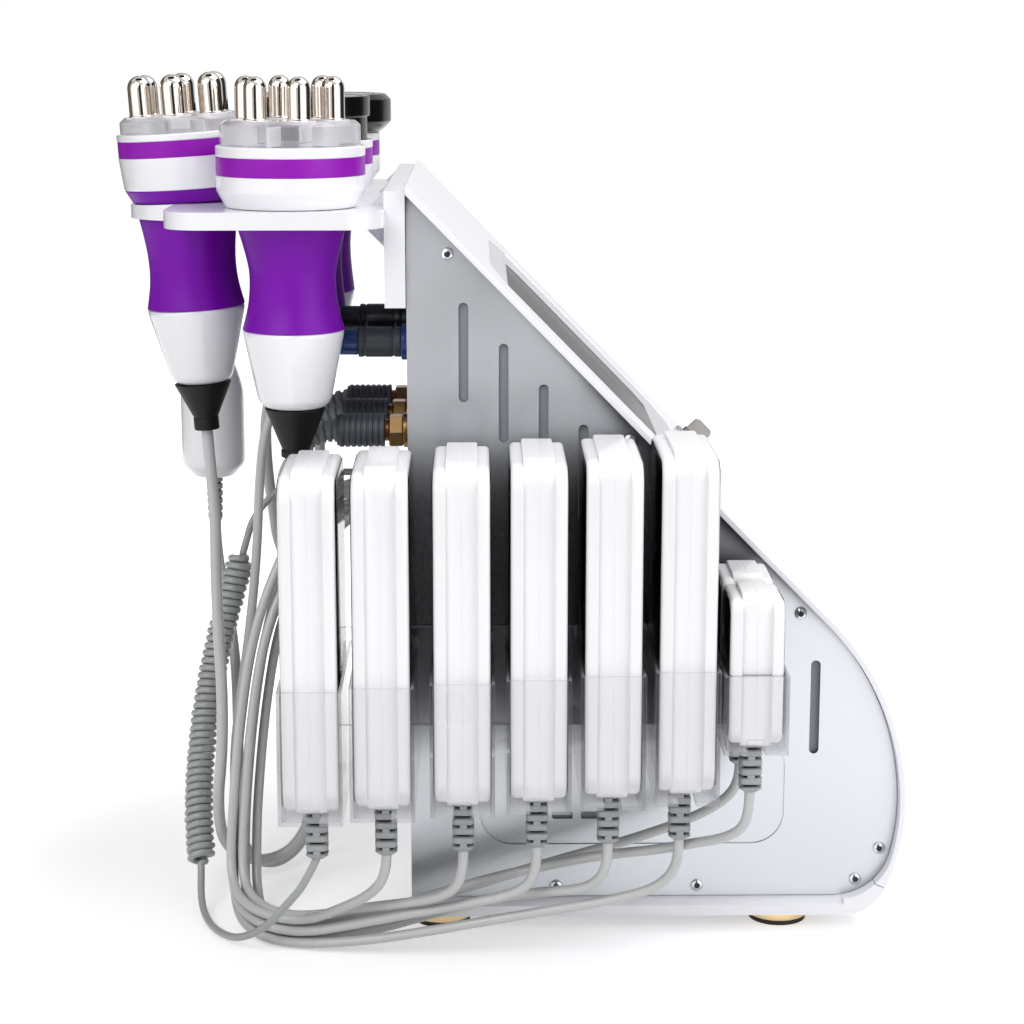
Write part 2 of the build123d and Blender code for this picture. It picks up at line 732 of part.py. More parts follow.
with BuildPart() as handpiece_shelf:
    with BuildSketch(level(0, 0, shelf_top - shelf_thickness)):
        with Locations((-(shelf_left + flange_thickness) / 2, (shelf_near + shelf_far) / 2)):
            RectangleRounded(shelf_left - flange_thickness, shelf_far - shelf_near, shelf_round)
            with Locations(((shelf_left - flange_thickness) / 4, 0)):
                Rectangle((shelf_left - flange_thickness) / 2, shelf_far - shelf_near - 2 * shelf_round)
        for y in lobes:
            with Locations((-far_column, y)):
                Circle(lobe_radius)
    extrude(amount=shelf_thickness)
    with BuildSketch(rear_plane(-fit)):
        with Locations((-cabinet_width / 2, (flange_low + flange_high) / 2)):
            Rectangle(cabinet_width - 2 * flange_inset, flange_high - flange_low)
    extrude(amount=flange_thickness)
    for y in (gusset_inset, cabinet_width / 2, cabinet_width - gusset_inset):
        with BuildSketch(side_plane(y - gusset_thickness / 2)):
            with BuildLine():
                Polyline((-flange_thickness, shelf_top + gusset_high),
                         (-flange_thickness - gusset_high, shelf_top),
                         (-flange_thickness - gusset_low, shelf_top - shelf_thickness),
                         (-flange_thickness, shelf_top - shelf_thickness - gusset_low), close=True)
            make_face()
        extrude(amount=-gusset_thickness)
    for seat, passing_radius in holes:
        with BuildSketch(seat):
            Circle(passing_radius + hole_gap)
        extrude(amount=shelf_thickness + overrun, both=True, mode=Mode.SUBTRACT)
    with BuildSketch(station_2):
        Circle(lobe_radius + overrun)
    extrude(amount=overrun, mode=Mode.SUBTRACT)
keep(handpiece_shelf.part, "handpiece_shelf")

# Clear rack: seven open pockets on one back plate
rack_plate = 3.0
rack_plate_low = 22.0        # plate's lower edge above the pockets' floors
rack_plate_margin = 2.0
first_pocket_x = -47.5
pocket_offset_shares = (0.0, 0.95, 2.01, 3.02, 4.0, 4.98)
small_pocket_share = 5.88
first_pocket_floor = 97.3
pocket_step = 1.94           # each pocket sits this much higher than the last
small_pocket_floor = 133.7
small_pocket_height = 41.0
slot_width = 9.0
slot_rise = 8.0
boot_hole = 14.0
small_pad_thickness = 27.0
small_pad_depth = 44.0
small_pad_height = 80.0

pocket_front = panel_recess - rack_reach
pocket_back = panel_recess - rack_plate
pad_middle_y = pocket_front + pocket_wall + pad_front_gap + pad_depth / 2
small_pad_offset = (small_pad_depth + pocket_gap * 4) / 2
small_pad_middle_y = pocket_front + pocket_wall + pad_front_gap + small_pad_offset + small_pad_depth / 2
large_pockets = [(first_pocket_x + share * pocket_pitch, first_pocket_floor + i * pocket_step)
                 for i, share in enumerate(pocket_offset_shares)]
small_pocket = (first_pocket_x + small_pocket_share * pocket_pitch, small_pocket_floor)


def pocket(x, floor, inner_width, height, boot_places):
    """One open box with holes in its floor for the pads' cord boots and a slot for the cord."""
    middle = (pocket_front + pocket_back) / 2
    depth = pocket_back - pocket_front
    with BuildPart() as box:
        with BuildSketch(level(x, middle, floor)):
            Rectangle(inner_width + 2 * pocket_wall, depth)
        extrude(amount=height)
        with BuildSketch(level(x, middle + pocket_wall / 2, floor + pocket_wall)):
            Rectangle(inner_width, depth - pocket_wall)
        extrude(amount=height, mode=Mode.SUBTRACT)
        with BuildSketch(level(x, 0, floor)):
            for y in boot_places:
                with Locations((0, y)):
                    Rectangle(boot_hole, boot_hole)
            with Locations((0, (pocket_front - overrun + boot_places[-1]) / 2)):
                Rectangle(slot_width, boot_places[-1] - pocket_front + overrun)
        extrude(amount=pocket_wall, mode=Mode.SUBTRACT)
        with BuildSketch(level(x, pocket_front, floor)):
            Rectangle(slot_width, 2 * (pocket_wall + overrun / 2))
        extrude(amount=slot_rise, mode=Mode.SUBTRACT)
    return box.part


with BuildPart() as pad_rack:
    plate_left = large_pockets[0][0] - pad_thickness / 2 - pocket_gap - pocket_wall
    plate_right = small_pocket[0] + pad_thickness / 2 + pocket_gap + pocket_wall
    plate_low = first_pocket_floor + rack_plate_low
    plate_high = small_pocket_floor + small_pocket_height
    with BuildSketch(side_plane(pocket_back)):
        with Locations(((plate_left + plate_right) / 2, (plate_low + plate_high) / 2)):
            Rectangle(plate_right - plate_left, plate_high - plate_low)
    extrude(amount=-rack_plate)
    for x, floor in large_pockets:
        add(pocket(x, floor, pad_thickness + 2 * pocket_gap, pocket_height, [pad_middle_y]))
    add(pocket(*small_pocket, small_pad_thickness + 4 * pocket_gap, small_pocket_height,
               [small_pad_middle_y - small_pad_offset, small_pad_middle_y + small_pad_offset]))
keep(pad_rack.part, "pad_rack")

# Pads: a centre frame that stands a little proud between two face covers
frame_share = 0.55           # of the pad's thickness
frame_proud = 2.5
cover_corner = 13.0
window_thickness = 1.2
window_margin = 18.0
small_window_margin = 8.0
small_cover_corner = 6.0
cord_boot_side = 11.5
cord_boot_corner = 2.2
cord_boot_bevel = 1.8
cord_boot_length = 34.0
small_boot_length = 28.0
rib_pitch = 4.2
rib_gap = 1.3
notch_depth = 3.4            # from both sides, right through from front to back
groove_depth = 1.6           # in the front and the back
groove_margin = 1.4          # a groove stops this far from the boot's sides


def pad_shell(x, y, floor, thickness, depth, height, corner, margin):
    """Moulded case of one pad, standing on floor, with a shallow seat for its window."""
    cover = height - 2 * frame_proud
    with BuildPart() as shell:
        for share, tall, long in ((frame_share, height, depth - 2 * frame_proud), (1.0, cover, depth)):
            with BuildSketch(Plane(origin=at(x - share * thickness / 2, y, floor + height / 2),
                                   x_dir=(0, 1, 0), z_dir=(1, 0, 0))):
                Rectangle(long, tall)
                chamfer(vertices(), corner)
            extrude(amount=share * thickness)
        with BuildSketch(Plane(origin=at(x - thickness / 2, y, floor + height / 2),
                               x_dir=(0, 1, 0), z_dir=(1, 0, 0))):
            Rectangle(depth - 2 * margin, height - 2 * margin)
        extrude(amount=window_thickness, mode=Mode.SUBTRACT)
    return shell.part


def pad_window(x, y, floor, thickness, depth, height, margin):
    """Dark clear window of one pad, flush with its rear face."""
    with BuildPart() as window:
        with BuildSketch(Plane(origin=at(x - thickness / 2, y, floor + height / 2),
                               x_dir=(0, 1, 0), z_dir=(1, 0, 0))):
            Rectangle(depth - 2 * margin, height - 2 * margin)
        extrude(amount=window_thickness)
    return window.part


def pad_boot(x, y, floor, length):
    """Square boot under a pad that bends: grooves front and back, notches at both sides, in turn."""
    side = cord_boot_side
    with BuildPart() as part:
        with BuildSketch(level(x, y, floor - length)):
            Rectangle(side, side)
            chamfer(vertices(), cord_boot_corner)
        extrude(amount=length)
        chamfer(part.faces().sort_by(Axis.Z)[0].edges(), cord_boot_bevel)
        for i in range(1, int(length / rib_pitch)):
            with BuildSketch(level(x, y, floor - length + i * rib_pitch)):
                if i % 2:
                    with GridLocations(0, side, 1, 2):
                        Rectangle(side - 2 * groove_margin, 2 * groove_depth)
                else:
                    with GridLocations(side, 0, 2, 1):
                        Rectangle(2 * notch_depth, side)
            extrude(amount=rib_gap, mode=Mode.SUBTRACT)
    return part.part


pads = []
for i, (pocket_x, pocket_floor) in enumerate(large_pockets, start=1):
    pads.append((f"pad_{i}", pocket_x, pad_middle_y, pocket_floor + pocket_wall + seat_gap, pad_thickness,
                 pad_depth, pad_height, cover_corner, window_margin, cord_boot_length))
for i, side in enumerate((-1, 1), start=1):
    pads.append((f"small_pad_{i}", small_pocket[0], small_pad_middle_y + side * small_pad_offset,
                 small_pocket[1] + pocket_wall + seat_gap, small_pad_thickness, small_pad_depth,
                 small_pad_height, small_cover_corner, small_window_margin, small_boot_length))

for name, x, y, floor, thickness, depth, height, corner, margin, boot_length in pads:
    keep(pad_shell(x, y, floor, thickness, depth, height, corner, margin), name + "_shell")
    keep(pad_window(x, y, floor, thickness, depth, height, margin), name + "_window")
    keep(pad_boot(x, y, floor, boot_length), name + "_boot")

# Cable plugs behind the rear panel: three ribbed ones below, two with coloured collars above,
# and one flat block for the eight pad cords. Reaches are measured back from the rear face.
socket_neck_radius = 5.9
socket_neck_depth = 8.0
nut_start = 3.0
nut_end = 11.0
nut_radius = 9.4
ring_start = 0.0
ring_end = 4.5
ring_radius = 10.0
lower_plug_radius = 9.2
lower_plug_end = 39.4
upper_plug_radius = 8.4
upper_plug_end = 28.0
upper_collar_radius = 7.2
upper_collar_end = 39.0
relief_top_radius = 6.6
relief_low_radius = 4.6
relief_bend = 26.0
relief_turn = 46.0           # degrees, the strain reliefs droop
relief_shares = (0.0, 0.35, 0.7, 1.0)
socket_reach = 13.0


def rear_disc(y, z, start, end, radius):
    """Round stretch of a plug or socket that points straight back."""
    with BuildPart() as part:
        with BuildSketch(rear_plane(-start)):
            with Locations((-y, z)):
                Circle(radius)
        extrude(amount=end - start)
    return part.part


def nut(y, z):
    """Hexagonal panel nut round a socket."""
    with BuildPart() as part:
        with BuildSketch(rear_plane(-nut_start)):
            with Locations((-y, z)):
                RegularPolygon(nut_radius, 6)
                Circle(socket_neck_radius, mode=Mode.SUBTRACT)
        extrude(amount=nut_end - nut_start)
    return part.part


def strain_relief(y, z, start):
    """Tapered rubber sleeve that turns down from a plug's rear end."""
    with BuildPart() as part:
        for share in relief_shares:
            turn = math.radians(relief_turn * share)
            centre = at(-start - relief_bend * math.sin(turn), y, z - relief_bend * (1 - math.cos(turn)))
            with BuildSketch(Plane(origin=centre, x_dir=(0, -1, 0),
                                   z_dir=(-math.cos(turn), 0, -math.sin(turn)))):
                Circle(relief_top_radius + (relief_low_radius - relief_top_radius) * share)
        loft(ruled=True)
    return part.part


with BuildPart() as panel_sockets:
    for y, z in lower_sockets:
        add(rear_disc(y, z, -socket_neck_depth, socket_reach, socket_neck_radius))
        add(nut(y, z))
        add(rear_disc(y, z, 0, nut_start, nut_radius))
    for y, z in upper_sockets:
        add(rear_disc(y, z, -socket_neck_depth, ring_end, socket_neck_radius))
        add(rear_disc(y, z, ring_start, ring_end, ring_radius))
keep(panel_sockets.part, "panel_sockets")

plug_solids = []
for y, z in lower_sockets:
    plug_solids.append(rear_disc(y, z, socket_reach, lower_plug_end, lower_plug_radius)
                       + strain_relief(y, z, lower_plug_end))
for y, z in upper_sockets:
    plug_solids.append(rear_disc(y, z, ring_end, upper_plug_end, upper_plug_radius)
                       + rear_disc(y, z, upper_plug_end, upper_collar_end, upper_collar_radius)
                       + strain_relief(y, z, upper_collar_end))
with BuildPart() as pad_cord_block:
    with BuildSketch(rear_plane(0)):
        with Locations((-block_across, block_height)):
            RectangleRounded(block_width, block_tall, block_tall / 6)
    extrude(amount=block_depth)
plug_solids.append(pad_cord_block.part)
keep(Compound(plug_solids), "cable_plugs")

# Cords. A route lists the corners between a cord's boot and the place where it goes in, and each
# corner is rounded with as large an arc as its runs allow. Both ends follow the pieces they meet.
handpiece_cord = 6.5
pad_cord = 5.4
cord_sides = 6
arc_share = 0.45             # how much of the shorter run a corner's arc takes
block_columns = 4
block_rows = 2
column_pitch = 16.0
row_pitch = 13.0
handpiece_lead = 16.0        # straight lengths before the first corner
pad_lead = 12.0
plug_lead = 12.0
block_lead = 21.0
boot_ends = [floor + pocket_wall + seat_gap - cord_boot_length for x, floor in large_pockets]


def corner_radii(route):
    """Radius of the arc at each corner of a route."""
    radii = []
    for before, corner, after in zip(route, route[1:], route[2:]):
        arriving, leaving = corner - before, after - corner
        turn = math.radians(arriving.get_angle(leaving))
        radii.append(arc_share * min(arriving.length, leaving.length) / math.tan(turn / 2))
    return radii


def cord(name, start, middle, end, diameter):
    """One cord's tube; start and end are (point, way out of it, straight length)."""
    first, last = [[Vector(*point), Vector(*point) + Vector(*way).normalized() * length]
                   for point, way, length in (start, end)]
    route = first + [Vector(*corner) for corner in middle] + last[::-1]
    radii = corner_radii(route)
    with BuildPart() as tube:
        with BuildLine():
            path = FilletPolyline(*route, radius=radii)
        with BuildSketch(Plane(origin=route[0], z_dir=route[1] - route[0])):
            RegularPolygon(diameter / 2, cord_sides)
        sweep(path=path)
    print(f"cord {name}: {path.length:.0f} mm long, tightest bend {min(radii):.1f} mm")
    return tube.part


def from_plug(y, z, start):
    """Where a cord leaves a plug's drooping sleeve, its way out and its straight length."""
    turn = math.radians(relief_turn)
    point = at(-start - relief_bend * math.sin(turn), y, z - relief_bend * (1 - math.cos(turn)))
    return point, (-math.cos(turn), 0, -math.sin(turn)), plug_lead


def from_block(column, row):
    """The same for the flat block, columns from the near side, rows from the top."""
    point = at(-block_depth, block_across + (column - (block_columns - 1) / 2) * column_pitch,
               block_height + ((block_rows - 1) / 2 - row) * row_pitch)
    return point, (-1, 0, 0), block_lead


def from_handpiece(seat, end):
    """The same for a handpiece's boot."""
    return tuple(seat.origin + seat.z_dir * end), tuple(-seat.z_dir), handpiece_lead


def from_pad(x, y, end):
    """The same for the boot under a pad."""
    return at(x, y, end), (0, 0, -1), pad_lead


handpiece_1_route = [
    (-116, -73, 232.5), (-114.5, -82.5, 216), (-114, -86, 197), (-115.5, -76.5, 183.5),
    (-117.5, -61, 178.5), (-119.5, -45.5, 183.5), (-121, -36, 197), (-123.5, -36, 214),
    (-126, -39, 231), (-127, -43, 247)
]
handpiece_2_route = [
    (-167.5, -15, 236), (-166.5, -17, 218), (-166.5, -22, 188), (-165, -29, 156), (-163, -36, 124),
    (-163.5, -41, 92), (-167, -41, 62), (-165, -32, 34.5), (-152, -24.5, 22.5), (-137.5, -20, 21),
    (-124.5, -16.5, 28), (-115, -13.5, 46.5), (-115, -10, 80), (-114, -4, 120), (-111.5, -1, 158),
    (-109.5, -0.5, 182), (-103.5, 0.5, 206)
]
handpiece_3_route = [
    (-173, 73, 160), (-167, 59, 137), (-163, 41, 114), (-161, 23, 88), (-160, 8, 62), (-159, 2, 44),
    (-158, 0, 23.5), (-150.5, 6.5, 10.5), (-139, 17, 5), (-127.5, 27.5, 10.5), (-120, 34, 23.5),
    (-119, 36, 44), (-119, 37, 64), (-120, 34, 90), (-122, 29, 124), (-126, 21, 166), (-128, 13, 208),
    (-127, 9.5, 242)
]
handpiece_4_route = [
    (-119, 30.5, 236), (-121, 30, 218), (-122, 30, 197), (-123, 39.5, 183.5), (-124.5, 55, 178.5),
    (-126, 70.5, 183.5), (-127, 80, 197), (-127.5, 79, 214), (-128, 73, 231), (-127, 65, 247)
]
handpiece_5_route = [
    (-117, 125, 234), (-117.5, 123, 214), (-118, 122, 191), (-122, 112.5, 177), (-129, 97, 171.5),
    (-136, 81.5, 177), (-140, 72, 191), (-141.5, 68, 209), (-143, 58, 230), (-143, 44, 252),
    (-141, 27, 272), (-136, 11, 290), (-129.5, 0.5, 305.5)
]
pad_2_route = [
    (-76, -131, 42), (-92, -120, 30), (-113, -106, 17), (-134.5, -98.5, 17), (-150.5, -82, 19.5),
    (-157, -66, 26.5), (-158, -58, 42), (-156.5, -53.5, 67), (-153, -47, 110), (-146, -41, 155),
    (-135, -32, 190), (-116, -15.5, 226.5)
]
pad_3_route = [
    (-31, -135.5, 46.5), (-41.5, -131, 39.5), (-57, -123, 34), (-84, -110, 26), (-113, -99.5, 17),
    (-131.5, -92.5, 17), (-144.5, -79, 19.5), (-150.5, -66, 26.5), (-151.5, -58, 42),
    (-150, -53.5, 67), (-146.5, -47, 110), (-139.5, -41, 155), (-130, -28.5, 184), (-112.5, -7, 213.5)
]
pad_4_route = [
    (7.5, -135.5, 48.5), (-3, -132.5, 41.5), (-26, -128, 35), (-56, -121, 27), (-86, -113, 18),
    (-113, -106, 10.5), (-134.5, -98.5, 10.5), (-150.5, -81, 13), (-157, -62, 21.5), (-158, -51.5, 40),
    (-157, -47, 66), (-153, -40.5, 110), (-146, -34.5, 155), (-135, -23.5, 190), (-116, -4, 226.5)
]
pad_5_route = [
    (45, -134.5, 50.5), (35, -130, 43.5), (15, -122, 39.5), (-14, -115, 33), (-46, -110, 22),
    (-80, -105, 10), (-113, -99.5, 4), (-132, -93, 4), (-145, -76.5, 6.5), (-150.5, -57.5, 16.5),
    (-151.5, -45, 38), (-150.5, -41, 65), (-146.5, -34, 110), (-139.5, -28, 155), (-132, -13.5, 185),
    (-113.5, 8, 226.5)
]
pad_6_route = [
    (82, -134.5, 52), (71.5, -131, 43), (48, -128, 36), (16, -126, 30), (-14, -124, 24),
    (-46, -121, 17), (-80, -114, 9), (-113, -106, 4), (-135, -99, 4), (-151, -80, 6.5),
    (-157, -57.5, 16.5), (-158, -45, 38), (-157, -41, 64), (-158, -26, 94), (-153, -14, 130),
    (-148, -3, 170), (-145, 2, 206), (-143, -2, 238), (-139, -12, 268), (-131, -21, 291)
]
small_pad_1_route = [
    (117.5, -153, 84.5), (108, -144, 76.5), (96, -134, 71), (76, -124, 63.5), (48, -116, 58),
    (18, -110, 50), (-14, -106, 41), (-46, -103, 30), (-80, -101, 18), (-113, -99.5, 10.5),
    (-131.5, -92.5, 10.5), (-144.5, -77.5, 13), (-150.5, -62, 21.5), (-151.5, -51.5, 40),
    (-150.5, -47, 66), (-146.5, -40.5, 110), (-139.5, -34.5, 155), (-128.5, -21, 184),
    (-111, 3.5, 214)
]
small_pad_2_route = [
    (111, -107, 83), (90, -103, 71), (60, -101, 60), (28, -99, 50), (-4, -98, 40), (-36, -97, 29),
    (-66, -96, 18), (-90, -95, 8), (-113, -93, 4), (-129, -87, 4), (-139, -73.5, 7), (-144, -58, 17),
    (-145, -45, 38), (-144, -41, 65), (-140, -34, 110), (-133, -28, 155), (-124.5, -12, 178.5),
    (-108.5, 16, 213.5)
]

small_boot_end = small_pocket[1] + pocket_wall + seat_gap - small_boot_length
routes = {
    "handpiece_1": (from_handpiece(station_1, collar_1_end), handpiece_1_route,
                    from_plug(*lower_sockets[0], lower_plug_end), handpiece_cord),
    "handpiece_2": (from_handpiece(station_2, collar_2_end), handpiece_2_route, from_block(0, 1),
                    handpiece_cord),
    "handpiece_3": (from_handpiece(station_3, wand_boot_end), handpiece_3_route,
                    from_plug(*lower_sockets[1], lower_plug_end), handpiece_cord),
    "handpiece_4": (from_handpiece(station_4, collar_4_end), handpiece_4_route,
                    from_plug(*lower_sockets[2], lower_plug_end), handpiece_cord),
    "handpiece_5": (from_handpiece(station_5, collar_4_end), handpiece_5_route,
                    from_plug(*upper_sockets[1], upper_collar_end), handpiece_cord),
    "pad_6": (from_pad(large_pockets[5][0], pad_middle_y, boot_ends[5]), pad_6_route,
              from_plug(*upper_sockets[0], upper_collar_end), pad_cord),
    "small_pad_1": (from_pad(small_pocket[0], small_pad_middle_y - small_pad_offset, small_boot_end),
                    small_pad_1_route, from_block(2, 1), pad_cord),
    "small_pad_2": (from_pad(small_pocket[0], small_pad_middle_y + small_pad_offset, small_boot_end),
                    small_pad_2_route, from_block(3, 1), pad_cord),
}
for i, (route, port) in enumerate(((pad_2_route, (0, 0)), (pad_3_route, (1, 1)), (pad_4_route, (1, 0)),
                                   (pad_5_route, (2, 0))), start=1):
    routes[f"pad_{i + 1}"] = (from_pad(large_pockets[i][0], pad_middle_y, boot_ends[i]), route,
                              from_block(*port), pad_cord)
keep(Compound([cord(name, *route) for name, route in routes.items()]), "cords")

# Curly cord of the first pad: a plain lead along the floor, curls on a rising line, a plain lead in
wire = 3.9
curl_radius = 6.5            # axis of the curls to the middle of the wire
curls = 38
steps_per_curl = 2
wire_sides = 4
gap_samples = 12             # points of each curl between which the least gap is measured
coil_lead_in = [
    (-111, -134, 49), (-120, -126, 36), (-134, -116, 17), (-150, -104, 6), (-163, -86, 3),
    (-172, -66, 3), (-177, -48, 8)
]
coil_axis = [
    (-178, -32, 22), (-181, -16, 50), (-181, -2, 72), (-179, 10, 98), (-174, 20, 128),
    (-166, 29, 160), (-157, 36, 190)
]
coil_lead_out = [(-150, 40, 215), (-125, 48, 235), (-95, 53, 236)]


def on_coil(axis, turn):
    """Point of the curly cord's middle line, turn counted in whole curls."""
    share = turn / curls
    middle = axis.position_at(share)
    along = axis.tangent_at(share)
    side = Vector(0, 1, 0).cross(along).normalized()
    angle = 2 * math.pi * turn
    return middle + (side * math.cos(angle) + along.cross(side) * math.sin(angle)) * curl_radius


def way_at(axis, turn):
    """Direction of the curly cord there."""
    small = 1 / (gap_samples * gap_samples)
    return (on_coil(axis, min(turn + small, curls)) - on_coil(axis, max(turn - small, 0))).normalized()


def biarc(start, way, end, end_way):
    """Two arcs that leave start along way and reach end along end_way."""
    gap, both = end - start, way + end_way
    along = gap.dot(both)
    reach = gap.dot(gap) / (along + math.sqrt(along ** 2 + (4 - both.dot(both)) * gap.dot(gap)))
    joint = (start + way * reach + end - end_way * reach) / 2
    TangentArc(start, joint, tangent=way)
    TangentArc(joint, end, tangent=end - end_way * reach - joint)


def ways_along(points):
    """Direction at each inner point of a plain stretch."""
    return [(after - before).normalized() for before, after in zip(points, points[2:])]


axis_line = Edge.make_spline([Vector(*point) for point in coil_axis])
down, forward = Vector(0, 0, -1), Vector(1, 0, 0)
coil_start = Vector(*at(large_pockets[0][0], pad_middle_y, boot_ends[0]))
coil_end = Vector(*from_block(3, 0)[0])
plain_in = [Vector(*point) for point in coil_lead_in]
plain_out = [Vector(*point) for point in coil_lead_out]
first_stop, last_stop = coil_start + down * wire, coil_end - forward * wire
stops = [(first_stop, down)]
stops += list(zip(plain_in, ways_along([first_stop] + plain_in + [on_coil(axis_line, 0)])))
for i in range(curls * steps_per_curl + 1):
    stops.append((on_coil(axis_line, i / steps_per_curl), way_at(axis_line, i / steps_per_curl)))
stops += list(zip(plain_out, ways_along([on_coil(axis_line, curls)] + plain_out + [last_stop])))
stops.append((last_stop, forward))

with BuildPart() as coiled_cord:
    with BuildLine() as coil_path:
        Line(coil_start, first_stop)
        for (start, way), (end, end_way) in zip(stops, stops[1:]):
            biarc(start, way, end, end_way)
        Line(last_stop, coil_end)
    with BuildSketch(Plane(origin=coil_start, z_dir=down)):
        RegularPolygon(wire / 2, wire_sides)
    sweep(path=coil_path.wires()[0])
keep(coiled_cord.part, "coiled_cord")

coil_points = [on_coil(axis_line, i / gap_samples) for i in range(curls * gap_samples + 1)]
least_gap = min((coil_points[i] - coil_points[j]).length - wire
                for i in range(len(coil_points))
                for j in range(i + gap_samples // 2, min(i + 2 * gap_samples, len(coil_points))))
bends = [edge.radius for edge in coil_path.edges() if edge.geom_type == GeomType.CIRCLE]
print(f"curly cord: {sum(edge.length for edge in coil_path.edges()):.0f} mm long, tightest bend"
      f" {min(bends):.1f} mm, least gap to itself {least_gap:.2f} mm")
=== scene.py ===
"""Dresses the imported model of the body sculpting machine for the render.

Tables are in millimetres in the model's own frame (+X front, +Z up, -Y towards
the rack of pads), and metres() turns them into Blender's metres.
"""

from math import asin, atan2, cos, hypot, pi, radians, sin

import bmesh
import bpy
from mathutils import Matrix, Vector

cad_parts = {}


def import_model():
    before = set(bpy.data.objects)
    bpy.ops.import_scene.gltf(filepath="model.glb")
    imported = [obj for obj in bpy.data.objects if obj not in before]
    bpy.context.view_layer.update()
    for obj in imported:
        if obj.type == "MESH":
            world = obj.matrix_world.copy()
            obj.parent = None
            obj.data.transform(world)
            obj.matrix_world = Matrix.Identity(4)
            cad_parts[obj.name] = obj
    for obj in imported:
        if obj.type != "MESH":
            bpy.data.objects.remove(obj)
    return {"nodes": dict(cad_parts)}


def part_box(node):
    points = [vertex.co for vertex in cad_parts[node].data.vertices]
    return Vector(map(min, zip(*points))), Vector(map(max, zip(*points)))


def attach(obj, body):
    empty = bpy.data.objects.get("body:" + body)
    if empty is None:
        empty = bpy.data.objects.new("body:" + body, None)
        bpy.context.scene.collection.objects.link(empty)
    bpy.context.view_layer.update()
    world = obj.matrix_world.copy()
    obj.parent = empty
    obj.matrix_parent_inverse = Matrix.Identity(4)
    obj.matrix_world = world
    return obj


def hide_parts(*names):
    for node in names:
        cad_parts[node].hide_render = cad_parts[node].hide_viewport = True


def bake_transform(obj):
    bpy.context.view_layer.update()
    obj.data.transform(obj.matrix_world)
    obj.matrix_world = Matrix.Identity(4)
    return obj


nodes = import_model()["nodes"]
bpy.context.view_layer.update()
scene = bpy.context.scene

MM = 0.001
LATHE_STEPS = 96
ON_AXIS = 0.01               # a smaller radius in a turned profile is a point on the axis
UP = (0, 0, 1)


def metres(point):
    return Vector(point) * MM


def linear(colour):
    """Linear values of a colour written as the eye sees it, 0 to 1."""
    return [c / 12.92 if c <= 0.04045 else ((c + 0.055) / 1.055) ** 2.4 for c in colour]


def adjust(thing, **settings):
    """The same thing with its settings."""
    for name, value in settings.items():
        setattr(thing, name, value)
    return thing


# Materials
def add_node(tree, kind, values=None, **settings):
    """A new shader node with its settings, and then the values of its inputs."""
    node = adjust(tree.nodes.new("ShaderNode" + kind), **settings)
    for name, value in (values or {}).items():
        node.inputs[name].default_value = value
    return node


def ramp(tree, start, end, low=0.0, high=1.0, smooth=False):
    """A node that takes start to low and end to high, and holds those beyond them."""
    return add_node(tree, "MapRange", {"From Min": start, "From Max": end, "To Min": low, "To Max": high},
                    interpolation_type="SMOOTHSTEP" if smooth else "LINEAR")


def join_up(tree, *links):
    """Links, each given as node, output, node, input."""
    for giver, output, taker, entry in links:
        tree.links.new(giver.outputs[output], taker.inputs[entry])


def principled(name, values):
    """A new material, its node tree, and its shader with the given values."""
    material = bpy.data.materials.new(name)
    material.use_nodes = True
    shader = material.node_tree.nodes["Principled BSDF"]
    for entry, value in values.items():
        shader.inputs[entry].default_value = value
    return material, material.node_tree, shader


BROAD_SCALE = 14.0
LEAST_ROUGHNESS, COAT_ROUGHNESS = 0.02, 0.08
BUMP_HEIGHT = 0.0002
HAZE_SCALE, HAZE = 22.0, 0.02


def surface(name, colour, roughness, metallic=0.0, coat=0.0, grain=900, bump=0.0, variation=0.04,
            wear=0.06, bevel=0.0, specular=0.5, stretch=(1, 1, 1), painted_fade=None):
    """Material with slight changes of colour, gloss and height; its last argument, painted light that changes the
    colour with height, is (low z, high z, colour at the low end).
    """
    material, tree, shader = principled(name, {"Metallic": metallic, "Specular IOR Level": specular,
                                               "Coat Weight": coat, "Coat Roughness": COAT_ROUGHNESS})
    place = add_node(tree, "TexCoord")
    mapping = add_node(tree, "Mapping", {"Scale": stretch})
    broad = add_node(tree, "TexNoise", {"Scale": BROAD_SCALE, "Detail": 2.0})
    full = linear(colour)
    tint = add_node(tree, "Mix", {"A": [c * (1 - variation) for c in full] + [1],
                                  "B": [min(1, c * (1 + variation)) for c in full] + [1]}, data_type="RGBA")
    gloss = ramp(tree, 0, 1, max(LEAST_ROUGHNESS, roughness - wear), roughness + wear)
    join_up(tree, (place, "Object", mapping, "Vector"), (mapping, "Vector", broad, "Vector"),
            (broad, "Fac", tint, "Factor"), (broad, "Fac", gloss, "Value"), (gloss, "Result", shader, "Roughness"))
    # Painted light: the colour goes from the given colour at the low z to the material's own colour at the high z
    if painted_fade:
        low, high, deep = painted_fade
        split = add_node(tree, "SeparateXYZ")
        depth = ramp(tree, low, high, smooth=True)
        mixed = add_node(tree, "Mix", {"A": linear(deep) + [1]}, data_type="RGBA")
        join_up(tree, (place, "Object", split, "Vector"), (split, "Z", depth, "Value"),
                (depth, "Result", mixed, "Factor"), (tint, "Result", mixed, "B"))
        tint = mixed
    join_up(tree, (tint, "Result", shader, "Base Color"))
    relief = add_node(tree, "Bevel", {"Radius": bevel}, samples=6) if bevel else None
    if bump:
        edge, relief = relief, add_node(tree, "Bump", {"Strength": bump, "Distance": BUMP_HEIGHT})
        fine = add_node(tree, "TexNoise", {"Scale": grain, "Detail": 3.0})
        join_up(tree, (mapping, "Vector", fine, "Vector"), (fine, "Fac", relief, "Height"))
        if edge:
            join_up(tree, (edge, "Normal", relief, "Normal"))
    if relief:
        join_up(tree, (relief, "Normal", shader, "Normal"))
        if coat:
            join_up(tree, (relief, "Normal", shader, "Coat Normal"))
    return material


